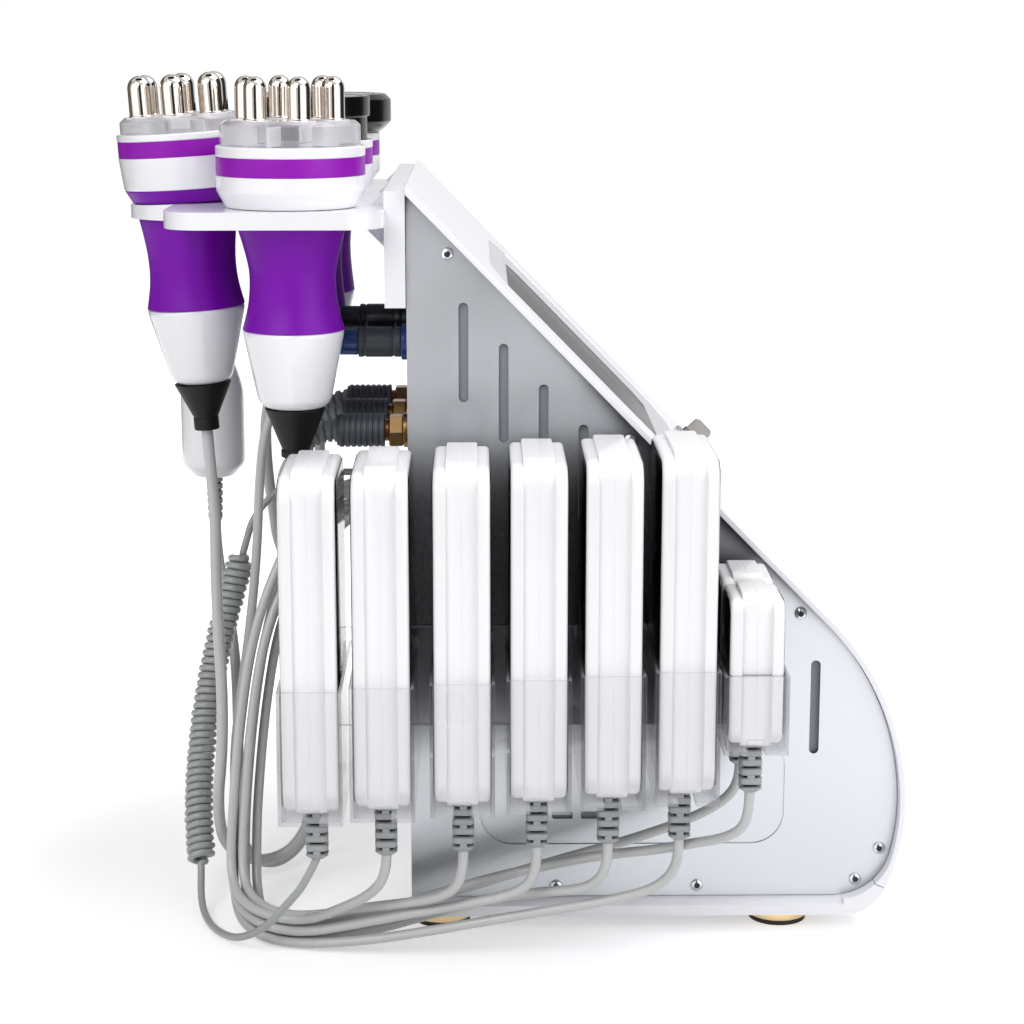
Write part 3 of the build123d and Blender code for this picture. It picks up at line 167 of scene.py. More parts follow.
def clear(name, colour, see_through, roughness, rise=0.55):
    """Thin clear plastic: mostly see-through face on, more solid by rise at a slant."""
    material, tree, shader = principled(name, {"Base Color": linear(colour) + [1], "Roughness": roughness,
                                               "Coat Weight": 0.6})
    slant = add_node(tree, "LayerWeight", {"Blend": 0.35})
    place = add_node(tree, "TexCoord")
    haze = add_node(tree, "TexNoise", {"Scale": HAZE_SCALE})
    cover = ramp(tree, 0, 1, 1 - see_through, min(1.0, 1 - see_through + rise))
    cloud = add_node(tree, "Math", {1: HAZE}, operation="MULTIPLY_ADD")
    join_up(tree, (place, "Object", haze, "Vector"), (slant, "Facing", cover, "Value"), (haze, "Fac", cloud, 0),
            (cover, "Result", cloud, 2), (cloud, "Value", shader, "Alpha"))
    return material


WHITE = (0.955, 0.955, 0.968)
PURPLE = (0.47, 0.02, 0.66)
VIOLET = (0.56, 0.05, 0.68)
cover_white = surface("cover_white", (0.95, 0.948, 0.97), 0.3, coat=0.2, variation=0.01, wear=0.03)
shelf_white = surface("shelf_white", (0.945, 0.943, 0.962), 0.2, coat=0.4, variation=0.012)
panel_silver = surface("panel_silver", (0.77, 0.78, 0.797), 0.35, metallic=0.95, grain=1400, bump=0.03, variation=0.02)
rear_silver = surface("rear_silver", (0.74, 0.75, 0.77), 0.4, metallic=0.2, grain=1400, bump=0.03, variation=0.02)
liner_grey = surface("liner_grey", (0.56, 0.58, 0.61), 0.6, bump=0.1)
shell_white = surface("shell_white", WHITE, 0.2, coat=0.45, grain=420, bump=0.02, variation=0.01)
pad_white = surface("pad_white", (0.94, 0.94, 0.948), 0.3, coat=0.35, grain=420, bump=0.03, variation=0.008)
grip_purple = surface("grip_purple", PURPLE, 0.42, bump=0.05, variation=0.05, specular=0.2)
band_violet = surface("band_violet", VIOLET, 0.38, bump=0.04, variation=0.05, specular=0.25)
electrode_chrome = surface("electrode_chrome", (0.88, 0.85, 0.82), 0.05, metallic=1.0, bump=0.03, variation=0.03,
                           wear=0.03)
screw_chrome = surface("screw_chrome", (0.80, 0.80, 0.82), 0.16, metallic=1.0, bump=0.05)
key_steel = surface("key_steel", (0.60, 0.59, 0.58), 0.16, metallic=1.0, bump=0.06)
boot_black = surface("boot_black", (0.035, 0.035, 0.038), 0.5, bump=0.1, variation=0.15, specular=0.25)
head_black = surface("head_black", (0.03, 0.03, 0.033), 0.24, coat=0.15, bump=0.02, variation=0.1, specular=0.3)
plate_grey = surface("plate_grey", (0.62, 0.63, 0.64), 0.22, metallic=0.9, bump=0.05)
screen_black = surface("screen_black", (0.02, 0.022, 0.028), 0.09, variation=0.2, wear=0.02, specular=0.12)
# Painted light: the windows turn lighter and redder towards their bottoms
window_dark = surface("window_dark", (0.06, 0.028, 0.05), 0.14, coat=0.1, variation=0.25, wear=0.03,
                      painted_fade=(0.10, 0.24, (0.24, 0.09, 0.15)))
boot_grey = surface("boot_grey", (0.62, 0.63, 0.635), 0.4, bump=0.12, variation=0.05)
# Painted shade: the cores between the ribs of boots and reliefs, and the screw sockets, are coloured near black
groove_painted_shade = surface("groove_painted_shade", (0.10, 0.105, 0.11), 0.7, grain=500, bump=0.05)
cord_grey = surface("cord_grey", (0.76, 0.765, 0.76), 0.28, bump=0.07, variation=0.05, coat=0.2)
coil_grey = surface("coil_grey", (0.65, 0.66, 0.66), 0.32, bump=0.07, variation=0.06, coat=0.12)
plug_slate = surface("plug_slate", (0.27, 0.29, 0.315), 0.42, bump=0.12, variation=0.08, bevel=0.0004)
plug_black = surface("plug_black", (0.09, 0.095, 0.105), 0.3, coat=0.2, bump=0.08, bevel=0.0003)
relief_grey = surface("relief_grey", (0.50, 0.52, 0.53), 0.45, bump=0.14, variation=0.06)
collar_blue = surface("collar_blue", (0.07, 0.24, 0.50), 0.3, coat=0.3, bump=0.05, bevel=0.0003)
nut_brass = surface("nut_brass", (0.55, 0.44, 0.30), 0.26, metallic=1.0, grain=700, bump=0.12, variation=0.1,
                    bevel=0.0004)
neck_copper = surface("neck_copper", (0.52, 0.33, 0.20), 0.3, metallic=1.0, grain=700, bump=0.1)
foot_gold = surface("foot_gold", (0.90, 0.79, 0.60), 0.16, metallic=1.0, grain=1200, bump=0.08, stretch=(1, 1, 12))
recess_grey = surface("recess_grey", (0.80, 0.805, 0.82), 0.45, variation=0.02)
foot_rubber = surface("foot_rubber", (0.09, 0.09, 0.09), 0.7, grain=700, bump=0.2)
inlet_black = surface("inlet_black", (0.06, 0.06, 0.065), 0.4, grain=700, bump=0.1, bevel=0.0005)
clear_acrylic = clear("clear_acrylic", (0.74, 0.745, 0.765), 0.97, 0.05, rise=0.8)
acrylic_edge = clear("acrylic_edge", (0.56, 0.565, 0.585), 0.05, 0.08)
cap_clear = clear("cap_clear", (0.72, 0.71, 0.735), 0.62, 0.06, rise=0.5)
cap_rib = clear("cap_rib", (0.93, 0.93, 0.94), 0.3, 0.12)

# The glass mirrors less at a slant
glass_tree = screen_black.node_tree
slant = add_node(glass_tree, "LayerWeight", {"Blend": 0.5})
mirroring = ramp(glass_tree, 0.5, 0.9, 0.5, 0.003)
join_up(glass_tree, (slant, "Facing", mirroring, "Value"),
        (mirroring, "Result", glass_tree.nodes["Principled BSDF"], "Specular IOR Level"))

# Little light reaches the side panels close behind the pads; this is painted shade: ambient occlusion turns the
# panels' colour near black there
panel_tree = panel_silver.node_tree
panel_colour = panel_tree.nodes["Principled BSDF"].inputs["Base Color"]
openness = add_node(panel_tree, "AmbientOcclusion", {"Distance": 0.08}, samples=16)
lit_share = ramp(panel_tree, 0.1, 0.58, smooth=True)
painted_shade = add_node(panel_tree, "Mix", {"A": (0.012, 0.012, 0.014, 1)}, data_type="RGBA")
panel_tree.links.new(panel_colour.links[0].from_socket, painted_shade.inputs["B"])
join_up(panel_tree, (openness, "AO", lit_share, "Value"), (lit_share, "Result", painted_shade, "Factor"))
panel_tree.links.new(painted_shade.outputs["Result"], panel_colour)

for node, material in (("touch_screen", screen_black), ("foot_pads", foot_rubber)):
    for mesh_slot in nodes[node].material_slots:
        mesh_slot.material = material


# Mesh helpers
def placed(name, data):
    """A new object in the scene."""
    piece = bpy.data.objects.new(name, data)
    scene.collection.objects.link(piece)
    return piece


def add_mesh(name, vertices, faces, material, smooth=True, sharp=40.0):
    mesh = bpy.data.meshes.new(name)
    mesh.from_pydata([tuple(v) for v in vertices], [], faces)
    mesh.validate()
    tidy = bmesh.new()
    tidy.from_mesh(mesh)
    bmesh.ops.recalc_face_normals(tidy, faces=tidy.faces)
    tidy.to_mesh(mesh)
    tidy.free()
    if smooth:
        mesh.shade_smooth()
        mesh.set_sharp_from_angle(angle=radians(sharp))
    mesh.materials.append(material)
    return placed(name, mesh)


def rounded(profile, radius, steps=5):
    """A profile of (x, y) points with its inner corners rounded."""
    out = [Vector(profile[0])]
    for before, corner, after in zip(profile, profile[1:], profile[2:]):
        p, q, r = Vector(before), Vector(corner), Vector(after)
        reach = min(radius, (p - q).length * 0.45, (r - q).length * 0.45)
        a = q + (p - q).normalized() * reach
        b = q + (r - q).normalized() * reach
        if (a - b).length < 0.02:
            out.append(q)
            continue
        for i in range(steps + 1):
            t = i / steps
            out.append(a * (1 - t) ** 2 + q * 2 * t * (1 - t) + b * t * t)
    out.append(Vector(profile[-1]))
    return out


def drum(radius, low, high, inner=0):
    """Profile of a drum or, with an inner radius, of a ring."""
    return [(inner, low), (radius, low), (radius, high), (inner, high)]


def axes(axis):
    """A direction, and two more at right angles to it."""
    axis = Vector(axis).normalized()
    side = axis.orthogonal().normalized()
    return axis, side, axis.cross(side)


def spoke(side, other, turn):
    """The direction at a turn from side towards other."""
    return side * cos(turn) + other * sin(turn)


def lathe(name, profile, base, axis, material, steps=LATHE_STEPS, closed=False, sharp=40.0):
    """Turned piece: profile of (radius, height) in mm about an axis through base (mm)."""
    axis, side, other = axes(axis)
    spokes = [spoke(side, other, 2 * pi * i / steps) for i in range(steps)]
    vertices, rings = [], []
    for radius, height in profile:
        centre = Vector(base) + axis * height
        ring = [centre] if radius < ON_AXIS else [centre + way * radius for way in spokes]
        rings.append(range(len(vertices), len(vertices) + len(ring)))
        vertices += [metres(point) for point in ring]
    faces = []
    for low, high in zip(rings, rings[1:] + (rings[:1] if closed else [])):
        for i in range(steps):
            j = (i + 1) % steps
            if len(low) == 1:
                faces.append((low[0], high[j], high[i]))
            elif len(high) == 1:
                faces.append((low[i], low[j], high[0]))
            else:
                faces.append((low[i], low[j], high[j], high[i]))
    return add_mesh(name, vertices, faces, material, sharp=sharp)


def join(name, pieces):
    """One piece from several, with their materials kept."""
    mesh = bpy.data.meshes.new(name)
    whole = bmesh.new()
    materials = []
    for piece in pieces:
        start = len(whole.faces)
        whole.from_mesh(piece.data)
        whole.faces.ensure_lookup_table()
        places = []
        for material in piece.data.materials:
            if material not in materials:
                materials.append(material)
            places.append(materials.index(material))
        for face in whole.faces[start:]:
            face.material_index = places[face.material_index] if places else 0
    whole.to_mesh(mesh)
    whole.free()
    for material in materials:
        mesh.materials.append(material)
    joined = placed(name, mesh)
    for piece in pieces:
        old = piece.data
        bpy.data.objects.remove(piece)
        bpy.data.meshes.remove(old)
    return joined


def skin(name, rings, material, sharp):
    """Closed surface through rings of the same number of points, in metres."""
    count, last = len(rings[0]), (len(rings) - 1) * len(rings[0])
    faces = [(k + i, k + (i + 1) % count, k + count + (i + 1) % count, k + count + i)
             for k in range(0, last, count) for i in range(count)]
    faces += [tuple(range(count)), tuple(range(last, last + count))]
    return add_mesh(name, [point for ring in rings for point in ring], faces, material, sharp=sharp)


def loft_rings(name, rings, material, sharp=35.0):
    """Closed surface through rings of the same number of points, in mm."""
    return skin(name, [[metres(point) for point in ring] for ring in rings], material, sharp)


def rounded_outline(half_wide, half_tall, radius, steps=6):
    """Points of a rounded rectangle about the origin."""
    radius = min(radius, half_wide, half_tall)
    points = []
    for cx, cy, start in ((1, 1, 0), (-1, 1, 90), (-1, -1, 180), (1, -1, 270)):
        for i in range(steps + 1):
            turn = radians(start + 90 * i / steps)
            points.append((cx * (half_wide - radius) + radius * cos(turn),
                           cy * (half_tall - radius) + radius * sin(turn)))
    return points


def standing(x, y, z, half_deep, half_tall, radius, steps=6):
    """Rounded rectangle about a centre, facing along x."""
    return [(x, y + u, z + v) for u, v in rounded_outline(half_deep, half_tall, radius, steps)]


def lying(x, y, z, half_x, half_y, radius, steps):
    """Rounded rectangle about a centre, facing up."""
    return [(x + u, y + v, z) for u, v in rounded_outline(half_x, half_y, radius, steps)]


MERGE_GAP = 0.00001
FLAT_ANGLE, EDGE_ANGLE = radians(0.6), radians(35)


def eased(node, width, material, slot, body="root", edge=None, segments=2):
    """A copy of a solid's mesh with its edges rounded, which stands for it."""
    mesh = nodes[node].data.copy()
    if "custom_normal" in mesh.attributes:
        mesh.attributes.remove(mesh.attributes["custom_normal"])
    whole = bmesh.new()
    whole.from_mesh(mesh)
    bmesh.ops.remove_doubles(whole, verts=whole.verts, dist=MERGE_GAP)
    bmesh.ops.dissolve_limit(whole, angle_limit=FLAT_ANGLE, verts=whole.verts, edges=whole.edges)
    whole.to_mesh(mesh)
    whole.free()
    rough = placed(node + "_rough", mesh)
    mesh.materials.clear()
    mesh.materials.append(material)
    mesh.materials.append(edge or material)
    mesh.shade_smooth()
    adjust(rough.modifiers.new("edges", "BEVEL"), width=width * MM, segments=segments, limit_method="ANGLE",
           angle_limit=EDGE_ANGLE, use_clamp_overlap=True, miter_outer="MITER_ARC", material=1 if edge else -1)
    adjust(rough.modifiers.new("flat", "WEIGHTED_NORMAL"), mode="FACE_AREA", weight=100, keep_sharp=False)
    view = bpy.context.evaluated_depsgraph_get()
    final = bpy.data.meshes.new_from_object(rough.evaluated_get(view))
    bpy.data.objects.remove(rough)
    bpy.data.meshes.remove(mesh)
    return dress(placed(node + "_eased", final), body, slot, node)


def dress(piece, body, slot, *replaced):
    """Makes a piece ride on a body, and stand for the nodes that it replaces."""
    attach(piece, body)
    if replaced:
        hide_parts(*replaced)
    return piece


# Camera and light
CAMERA_PLACE = (-18.25, -1300.0, 491.1)
CAMERA_TILT, CAMERA_PAN = 78.3, -0.83
LENS, SENSOR = 81.77, 36.0
camera = placed("camera", adjust(bpy.data.cameras.new("camera"), lens=LENS, sensor_width=SENSOR))
camera.location = metres(CAMERA_PLACE)
camera.rotation_euler = (radians(CAMERA_TILT), 0.0, radians(CAMERA_PAN))
scene.camera = camera

scene.view_settings.view_transform = "Standard"

# The world is white to the camera and through clear parts, pale in mirror-like surfaces and dim as a light
WORLD_LEVEL, MIRRORED_SHARE = 0.33, 0.55
world = bpy.data.worlds.new("studio")
scene.world = world
world.use_nodes = True
sky = world.node_tree
background = sky.nodes["Background"]
background.inputs["Color"].default_value = (1.0, 1.0, 1.0, 1.0)
rays = add_node(sky, "LightPath")
seen = add_node(sky, "Math", operation="MAXIMUM")
mirrored = add_node(sky, "Math", {1: MIRRORED_SHARE}, operation="MULTIPLY_ADD")
level = ramp(sky, 0, 1, WORLD_LEVEL, 1.0)
join_up(sky, (rays, "Is Camera Ray", seen, 0), (rays, "Is Transmission Ray", seen, 1),
        (rays, "Is Glossy Ray", mirrored, 0), (seen, "Value", mirrored, 2), (mirrored, "Value", level, "Value"),
        (level, "Result", background, "Strength"))

# The floor glows less near the object, painted shade around it beside the soft shadow that its matte part catches, and
# glows to white further out
FLOOR_HALF = 4000.0
NEAR_REACH, FAR_REACH = 0.25, 0.5
NEAR_GLOW, FAR_GLOW = 0.46, 0.82
floor_material = bpy.data.materials.new("floor_white")
floor_material.use_nodes = True
ground = floor_material.node_tree
ground.nodes.remove(ground.nodes["Principled BSDF"])
matte = add_node(ground, "BsdfDiffuse", {"Color": (0.8, 0.8, 0.81, 1)})
place = add_node(ground, "TexCoord")
reach = add_node(ground, "VectorMath", operation="LENGTH")
glow_level = ramp(ground, NEAR_REACH, FAR_REACH, NEAR_GLOW, FAR_GLOW, smooth=True)
glow = add_node(ground, "Emission")
dark = add_node(ground, "Emission", {"Strength": 0.0})
rays = add_node(ground, "LightPath")
seen = add_node(ground, "Math", operation="MAXIMUM")
lit = add_node(ground, "MixShader")
both = add_node(ground, "AddShader")
join_up(ground, (place, "Object", reach, 0), (reach, "Value", glow_level, "Value"),
        (glow_level, "Result", glow, "Strength"), (rays, "Is Camera Ray", seen, 0),
        (rays, "Is Glossy Ray", seen, 1), (seen, "Value", lit, "Fac"), (dark, "Emission", lit, 1),
        (glow, "Emission", lit, 2), (matte, "BSDF", both, 0), (lit, "Shader", both, 1),
        (both, "Shader", ground.nodes["Material Output"], "Surface"))
corners = [metres((x * FLOOR_HALF, y * FLOOR_HALF, 0)) for x, y in ((-1, -1), (1, -1), (1, 1), (-1, 1))]
floor = add_mesh("floor", corners, [(0, 1, 2, 3)], floor_material, smooth=False)


def area_light(name, place, size, power):
    """Rectangular lamp that points at the middle of the object."""
    data = adjust(bpy.data.lights.new(name, "AREA"), shape="RECTANGLE", energy=power)
    data.size, data.size_y = size
    light = placed(name, data)
    light.location = metres(place)
    light.rotation_euler = (metres(LIT_POINT) - metres(place)).to_track_quat("-Z", "Y").to_euler()


LIT_POINT = (0, 0, 200)
area_light("key_light", (-900, -1500, 1500), (1.2, 1.2), 20)
area_light("fill_light", (1500, -1300, 900), (1.2, 1.4), 12)
area_light("top_light", (600, -50, 1700), (1.4, 1.2), 18)

# Cards to be mirrored: turn from the camera's side about the contacts, width, colour and glow
BLACK_CARD, WHITE_CARD, BROWN_CARD = (0.01, 0.01, 0.012), (0.9, 0.9, 0.9), (0.20, 0.15, 0.12)
CARDS = [(4, 560, BLACK_CARD, 0.0), (46, 1450, WHITE_CARD, 1.0), (-52, 1700, WHITE_CARD, 0.95),
         (108, 1500, BLACK_CARD, 0.0), (-112, 1150, BROWN_CARD, 0.0), (-150, 900, BLACK_CARD, 0.0)]
CARD_CENTRE = Vector((-117, -64, 0))
CARD_AWAY = 1500
CARD_HEIGHT = Vector((0, 0, 1500))


def card(name, corners, colour, glow=0.0):
    """A flat sheet that only mirror-like surfaces see."""
    material = principled(name, {"Base Color": (*colour, 1), "Roughness": 0.9, "Emission Color": (*colour, 1),
                                 "Emission Strength": glow})[0]
    piece = add_mesh(name, [metres(c) for c in corners], [(0, 1, 2, 3)], material, smooth=False)
    piece.visible_camera = piece.visible_diffuse = piece.visible_shadow = piece.visible_transmission = False


for k, (turn, wide, colour, glow) in enumerate(CARDS):
    way = Vector((sin(radians(turn)), -cos(radians(turn)), 0))
    across = Vector((-way.y, way.x, 0)) * wide / 2
    place = CARD_CENTRE + way * CARD_AWAY
    card(f"card_{k}", [place - across, place + across, place + across + CARD_HEIGHT, place - across + CARD_HEIGHT],
         colour, glow)
card("card_overhead", [(-700, -300, 1600), (200, -300, 1600), (200, 300, 1600), (-700, 300, 1600)], BLACK_CARD)

# Cords. Each route repeats its points from the part's source; the cord's line is the smooth curve
# with those points as its control points.
ROUTES = {
    "handpiece_1": (3.25, [
        (-116.75, -64, 266), (-116.75, -64, 250), (-116, -73, 232.5), (-114.5, -82.5, 216), (-114, -86, 197),
        (-115.5, -76.5, 183.5), (-117.5, -61, 178.5), (-119.5, -45.5, 183.5), (-121, -36, 197), (-123.5, -36, 214),
        (-126, -39, 231), (-127, -43, 247), (-122.686, -44, 260.468), (-114.35, -44, 269.1)]),
    "handpiece_2": (3.25, [
        (-170.2, -14, 272.7), (-169.251, -14, 256.728), (-167.5, -15, 236), (-166.5, -17, 218), (-166.5, -22, 188),
        (-165, -29, 156), (-163, -36, 124), (-163.5, -41, 92), (-167, -41, 62), (-165, -32, 34.5), (-152, -24.5, 22.5),
        (-137.5, -20, 21), (-124.5, -16.5, 28), (-115, -13.5, 46.5), (-115, -10, 80), (-114, -4, 120),
        (-111.5, -1, 158), (-109.5, -0.5, 182), (-103.5, 0.5, 206), (-91.25, 5, 221.5), (-70.25, 5, 221.5)]),
    "handpiece_3": (3.25, [
        (-177.75, 81, 201), (-177.75, 81, 185), (-173, 73, 160), (-167, 59, 137), (-163, 41, 114), (-161, 23, 88),
        (-160, 8, 62), (-159, 2, 44), (-158, 0, 23.5), (-150.5, 6.5, 10.5), (-139, 17, 5), (-127.5, 27.5, 10.5),
        (-120, 34, 23.5), (-119, 36, 44), (-119, 37, 64), (-120, 34, 90), (-122, 29, 124), (-126, 21, 166),
        (-128, 13, 208), (-127, 9.5, 242), (-122.686, 9, 260.468), (-114.35, 9, 269.1)]),
    "handpiece_4": (3.25, [
        (-116.75, 31, 274), (-116.75, 31, 258), (-119, 30.5, 236), (-121, 30, 218), (-122, 30, 197),
        (-123, 39.5, 183.5), (-124.5, 55, 178.5), (-126, 70.5, 183.5), (-127, 80, 197), (-127.5, 79, 214),
        (-128, 73, 231), (-127, 65, 247), (-122.686, 62, 260.468), (-114.35, 62, 269.1)]),
    "handpiece_5": (3.25, [
        (-116.75, 126, 274), (-116.75, 126, 258), (-117, 125, 234), (-117.5, 123, 214), (-118, 122, 191),
        (-122, 112.5, 177), (-129, 97, 171.5), (-136, 81.5, 177), (-140, 72, 191), (-141.5, 68, 209), (-143, 58, 230),
        (-143, 44, 252), (-141, 27, 272), (-136, 11, 290), (-129.5, 0.5, 305.5), (-122.286, -1, 316.468),
        (-113.95, -1, 325.1)]),
    "pad_2": (2.7, [
        (-67.46, -136.6, 67), (-67.46, -136.6, 55), (-76, -131, 42), (-92, -120, 30), (-113, -106, 17),
        (-134.5, -98.5, 17), (-150.5, -82, 19.5), (-157, -66, 26.5), (-158, -58, 42), (-156.5, -53.5, 67),
        (-153, -47, 110), (-146, -41, 155), (-135, -32, 190), (-116, -15.5, 226.5), (-91.25, 5, 234.5),
        (-70.25, 5, 234.5)]),
    "pad_3": (2.7, [
        (-26.97, -136.6, 69), (-26.97, -136.6, 57), (-31, -135.5, 46.5), (-41.5, -131, 39.5), (-57, -123, 34),
        (-84, -110, 26), (-113, -99.5, 17), (-131.5, -92.5, 17), (-144.5, -79, 19.5), (-150.5, -66, 26.5),
        (-151.5, -58, 42), (-150, -53.5, 67), (-146.5, -47, 110), (-139.5, -41, 155), (-130, -28.5, 184),
        (-112.5, -7, 213.5), (-91.25, 21, 221.5), (-70.25, 21, 221.5)]),
    "pad_4": (2.7, [
        (11.61, -136.6, 70.9), (11.61, -136.6, 58.9), (7.5, -135.5, 48.5), (-3, -132.5, 41.5), (-26, -128, 35),
        (-56, -121, 27), (-86, -113, 18), (-113, -106, 10.5), (-134.5, -98.5, 10.5), (-150.5, -81, 13),
        (-157, -62, 21.5), (-158, -51.5, 40), (-157, -47, 66), (-153, -40.5, 110), (-146, -34.5, 155),
        (-135, -23.5, 190), (-116, -4, 226.5), (-91.25, 21, 234.5), (-70.25, 21, 234.5)]),
    "pad_5": (2.7, [
        (49.05, -136.6, 72.9), (49.05, -136.6, 60.9), (45, -134.5, 50.5), (35, -130, 43.5), (15, -122, 39.5),
        (-14, -115, 33), (-46, -110, 22), (-80, -105, 10), (-113, -99.5, 4), (-132, -93, 4), (-145, -76.5, 6.5),
        (-150.5, -57.5, 16.5), (-151.5, -45, 38), (-150.5, -41, 65), (-146.5, -34, 110), (-139.5, -28, 155),
        (-132, -13.5, 185), (-113.5, 8, 226.5), (-91.25, 37, 234.5), (-70.25, 37, 234.5)]),
    "pad_6": (2.7, [
        (86.49, -136.6, 74.8), (86.49, -136.6, 62.8), (82, -134.5, 52), (71.5, -131, 43), (48, -128, 36),
        (16, -126, 30), (-14, -124, 24), (-46, -121, 17), (-80, -114, 9), (-113, -106, 4), (-135, -99, 4),
        (-151, -80, 6.5), (-157, -57.5, 16.5), (-158, -45, 38), (-157, -41, 64), (-158, -26, 94), (-153, -14, 130),
        (-148, -3, 170), (-145, 2, 206), (-143, -2, 238), (-139, -12, 268), (-131, -21, 291), (-122.286, -24, 306.468),
        (-113.95, -24, 315.1)]),
    "small_pad_1": (2.7, [
        (120.87, -156.6, 107.5), (120.87, -156.6, 95.5), (117.5, -153, 84.5), (108, -144, 76.5), (96, -134, 71),
        (76, -124, 63.5), (48, -116, 58), (18, -110, 50), (-14, -106, 41), (-46, -103, 30), (-80, -101, 18),
        (-113, -99.5, 10.5), (-131.5, -92.5, 10.5), (-144.5, -77.5, 13), (-150.5, -62, 21.5), (-151.5, -51.5, 40),
        (-150.5, -47, 66), (-146.5, -40.5, 110), (-139.5, -34.5, 155), (-128.5, -21, 184), (-111, 3.5, 214),
        (-91.25, 37, 221.5), (-70.25, 37, 221.5)]),
    "small_pad_2": (2.7, [
        (120.87, -110.2, 107.5), (120.87, -110.2, 95.5), (111, -107, 83), (90, -103, 71), (60, -101, 60),
        (28, -99, 50), (-4, -98, 40), (-36, -97, 29), (-66, -96, 18), (-90, -95, 8), (-113, -93, 4), (-129, -87, 4),
        (-139, -73.5, 7), (-144, -58, 17), (-145, -45, 38), (-144, -41, 65), (-140, -34, 110), (-133, -28, 155),
        (-124.5, -12, 178.5), (-108.5, 16, 213.5), (-91.25, 53, 221.5), (-70.25, 53, 221.5)]),
}


def smooth_line(name, points):
    """Points along the smooth curve of a route, in metres."""
    curve = adjust(bpy.data.curves.new(name, "CURVE"), dimensions="3D", resolution_u=10)
    spline = curve.splines.new("NURBS")
    spline.points.add(len(points) - 1)
    for place, point in zip(spline.points, points):
        place.co = (*metres(point), 1.0)
    spline.order_u = 3
    spline.use_endpoint_u = True
    route = placed(name, curve)
    bpy.context.view_layer.update()
    traced = bpy.data.meshes.new_from_object(route)
    line = [vertex.co.copy() for vertex in traced.vertices]
    bpy.data.objects.remove(route)
    bpy.data.curves.remove(curve)
    bpy.data.meshes.remove(traced)
    return line


def even(line, step):
    """The same line with points about a step apart, in metres."""
    places = [0.0]
    for a, b in zip(line, line[1:]):
        places.append(places[-1] + (b - a).length)
    count = max(2, round(places[-1] / step))
    out, k = [], 0
    for i in range(count + 1):
        want = places[-1] * i / count
        while k < len(line) - 2 and places[k + 1] < want:
            k += 1
        span = places[k + 1] - places[k]
        out.append(line[k].lerp(line[k + 1], (want - places[k]) / span if span else 0.0))
    return out


def frames(line):
    """Two directions across the line at each of its points, without twist."""
    across, out = None, []
    for i, point in enumerate(line):
        along = (line[min(i + 1, len(line) - 1)] - line[max(i - 1, 0)]).normalized()
        across = along.orthogonal() if across is None else across - along * across.dot(along)
        across.normalize()
        out.append((across.copy(), along.cross(across)))
    return out


def tube(name, line, radius, material, sides=16):
    """Round tube along a line, radius in metres, or one radius for each point."""
    radii = radius if isinstance(radius, list) else [radius] * len(line)
    rings = [[point + spoke(a, b, 2 * pi * i / sides) * r for i in range(sides)]
             for point, (a, b), r in zip(line, frames(line), radii)]
    return skin(name, rings, material, 60)


def laid(piece, replaced):
    """Puts a cord in place of the node that it replaces, with its placement baked into its mesh."""
    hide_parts(replaced)
    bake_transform(piece)


CORD_STEP, CURL_AXIS_STEP, CURL_STEP = 0.0035, 0.0006, 0.0016
for name, (radius, points) in ROUTES.items():
    line = even(smooth_line(name + "_route", points), CORD_STEP)
    laid(tube(name + "_cord", line, radius * MM, cord_grey), "cords")

# Curly cord of the first pad
WIRE_RADIUS = 2.1
CURL_RADIUS = 6.5
CURLS = 42
CURL_EASE = 1.2              # curls over which the radius grows and falls
CURLED = ((-178, -32, 22), (-157, 36, 190))     # where the curls start and end
COIL_ROUTE = [
    (-103.75, -136.6, 65.1), (-111, -134, 49), (-120, -126, 36), (-134, -116, 17), (-150, -104, 6), (-163, -86, 3),
    (-172, -66, 3), (-177, -48, 8), (-178, -32, 22), (-181, -16, 50), (-181, -2, 72), (-179, 10, 98), (-174, 20, 128),
    (-166, 29, 160), (-157, 36, 190), (-150, 40, 215), (-125, 48, 235), (-95, 53, 236), (-70.25, 53, 234.5),
]
axis_line = even(smooth_line("coil_route", COIL_ROUTE), CURL_AXIS_STEP)
first, last = (min(range(len(axis_line)), key=lambda k: (axis_line[k] - metres(place)).length) for place in CURLED)
coil_line = []
for k, (point, (a, b)) in enumerate(zip(axis_line, frames(axis_line))):
    share = min(1.0, max(0.0, (k - first) / (last - first)))
    rise = min(1.0, CURLS * share / CURL_EASE, CURLS * (1 - share) / CURL_EASE)
    rise = rise * rise * (3 - 2 * rise)
    coil_line.append(point + spoke(a, b, 2 * pi * CURLS * share) * CURL_RADIUS * MM * rise)
coil_line = even(coil_line, CURL_STEP)
laid(tube("pad_1_cord", coil_line, WIRE_RADIUS * MM, coil_grey, sides=12), "coiled_cord")

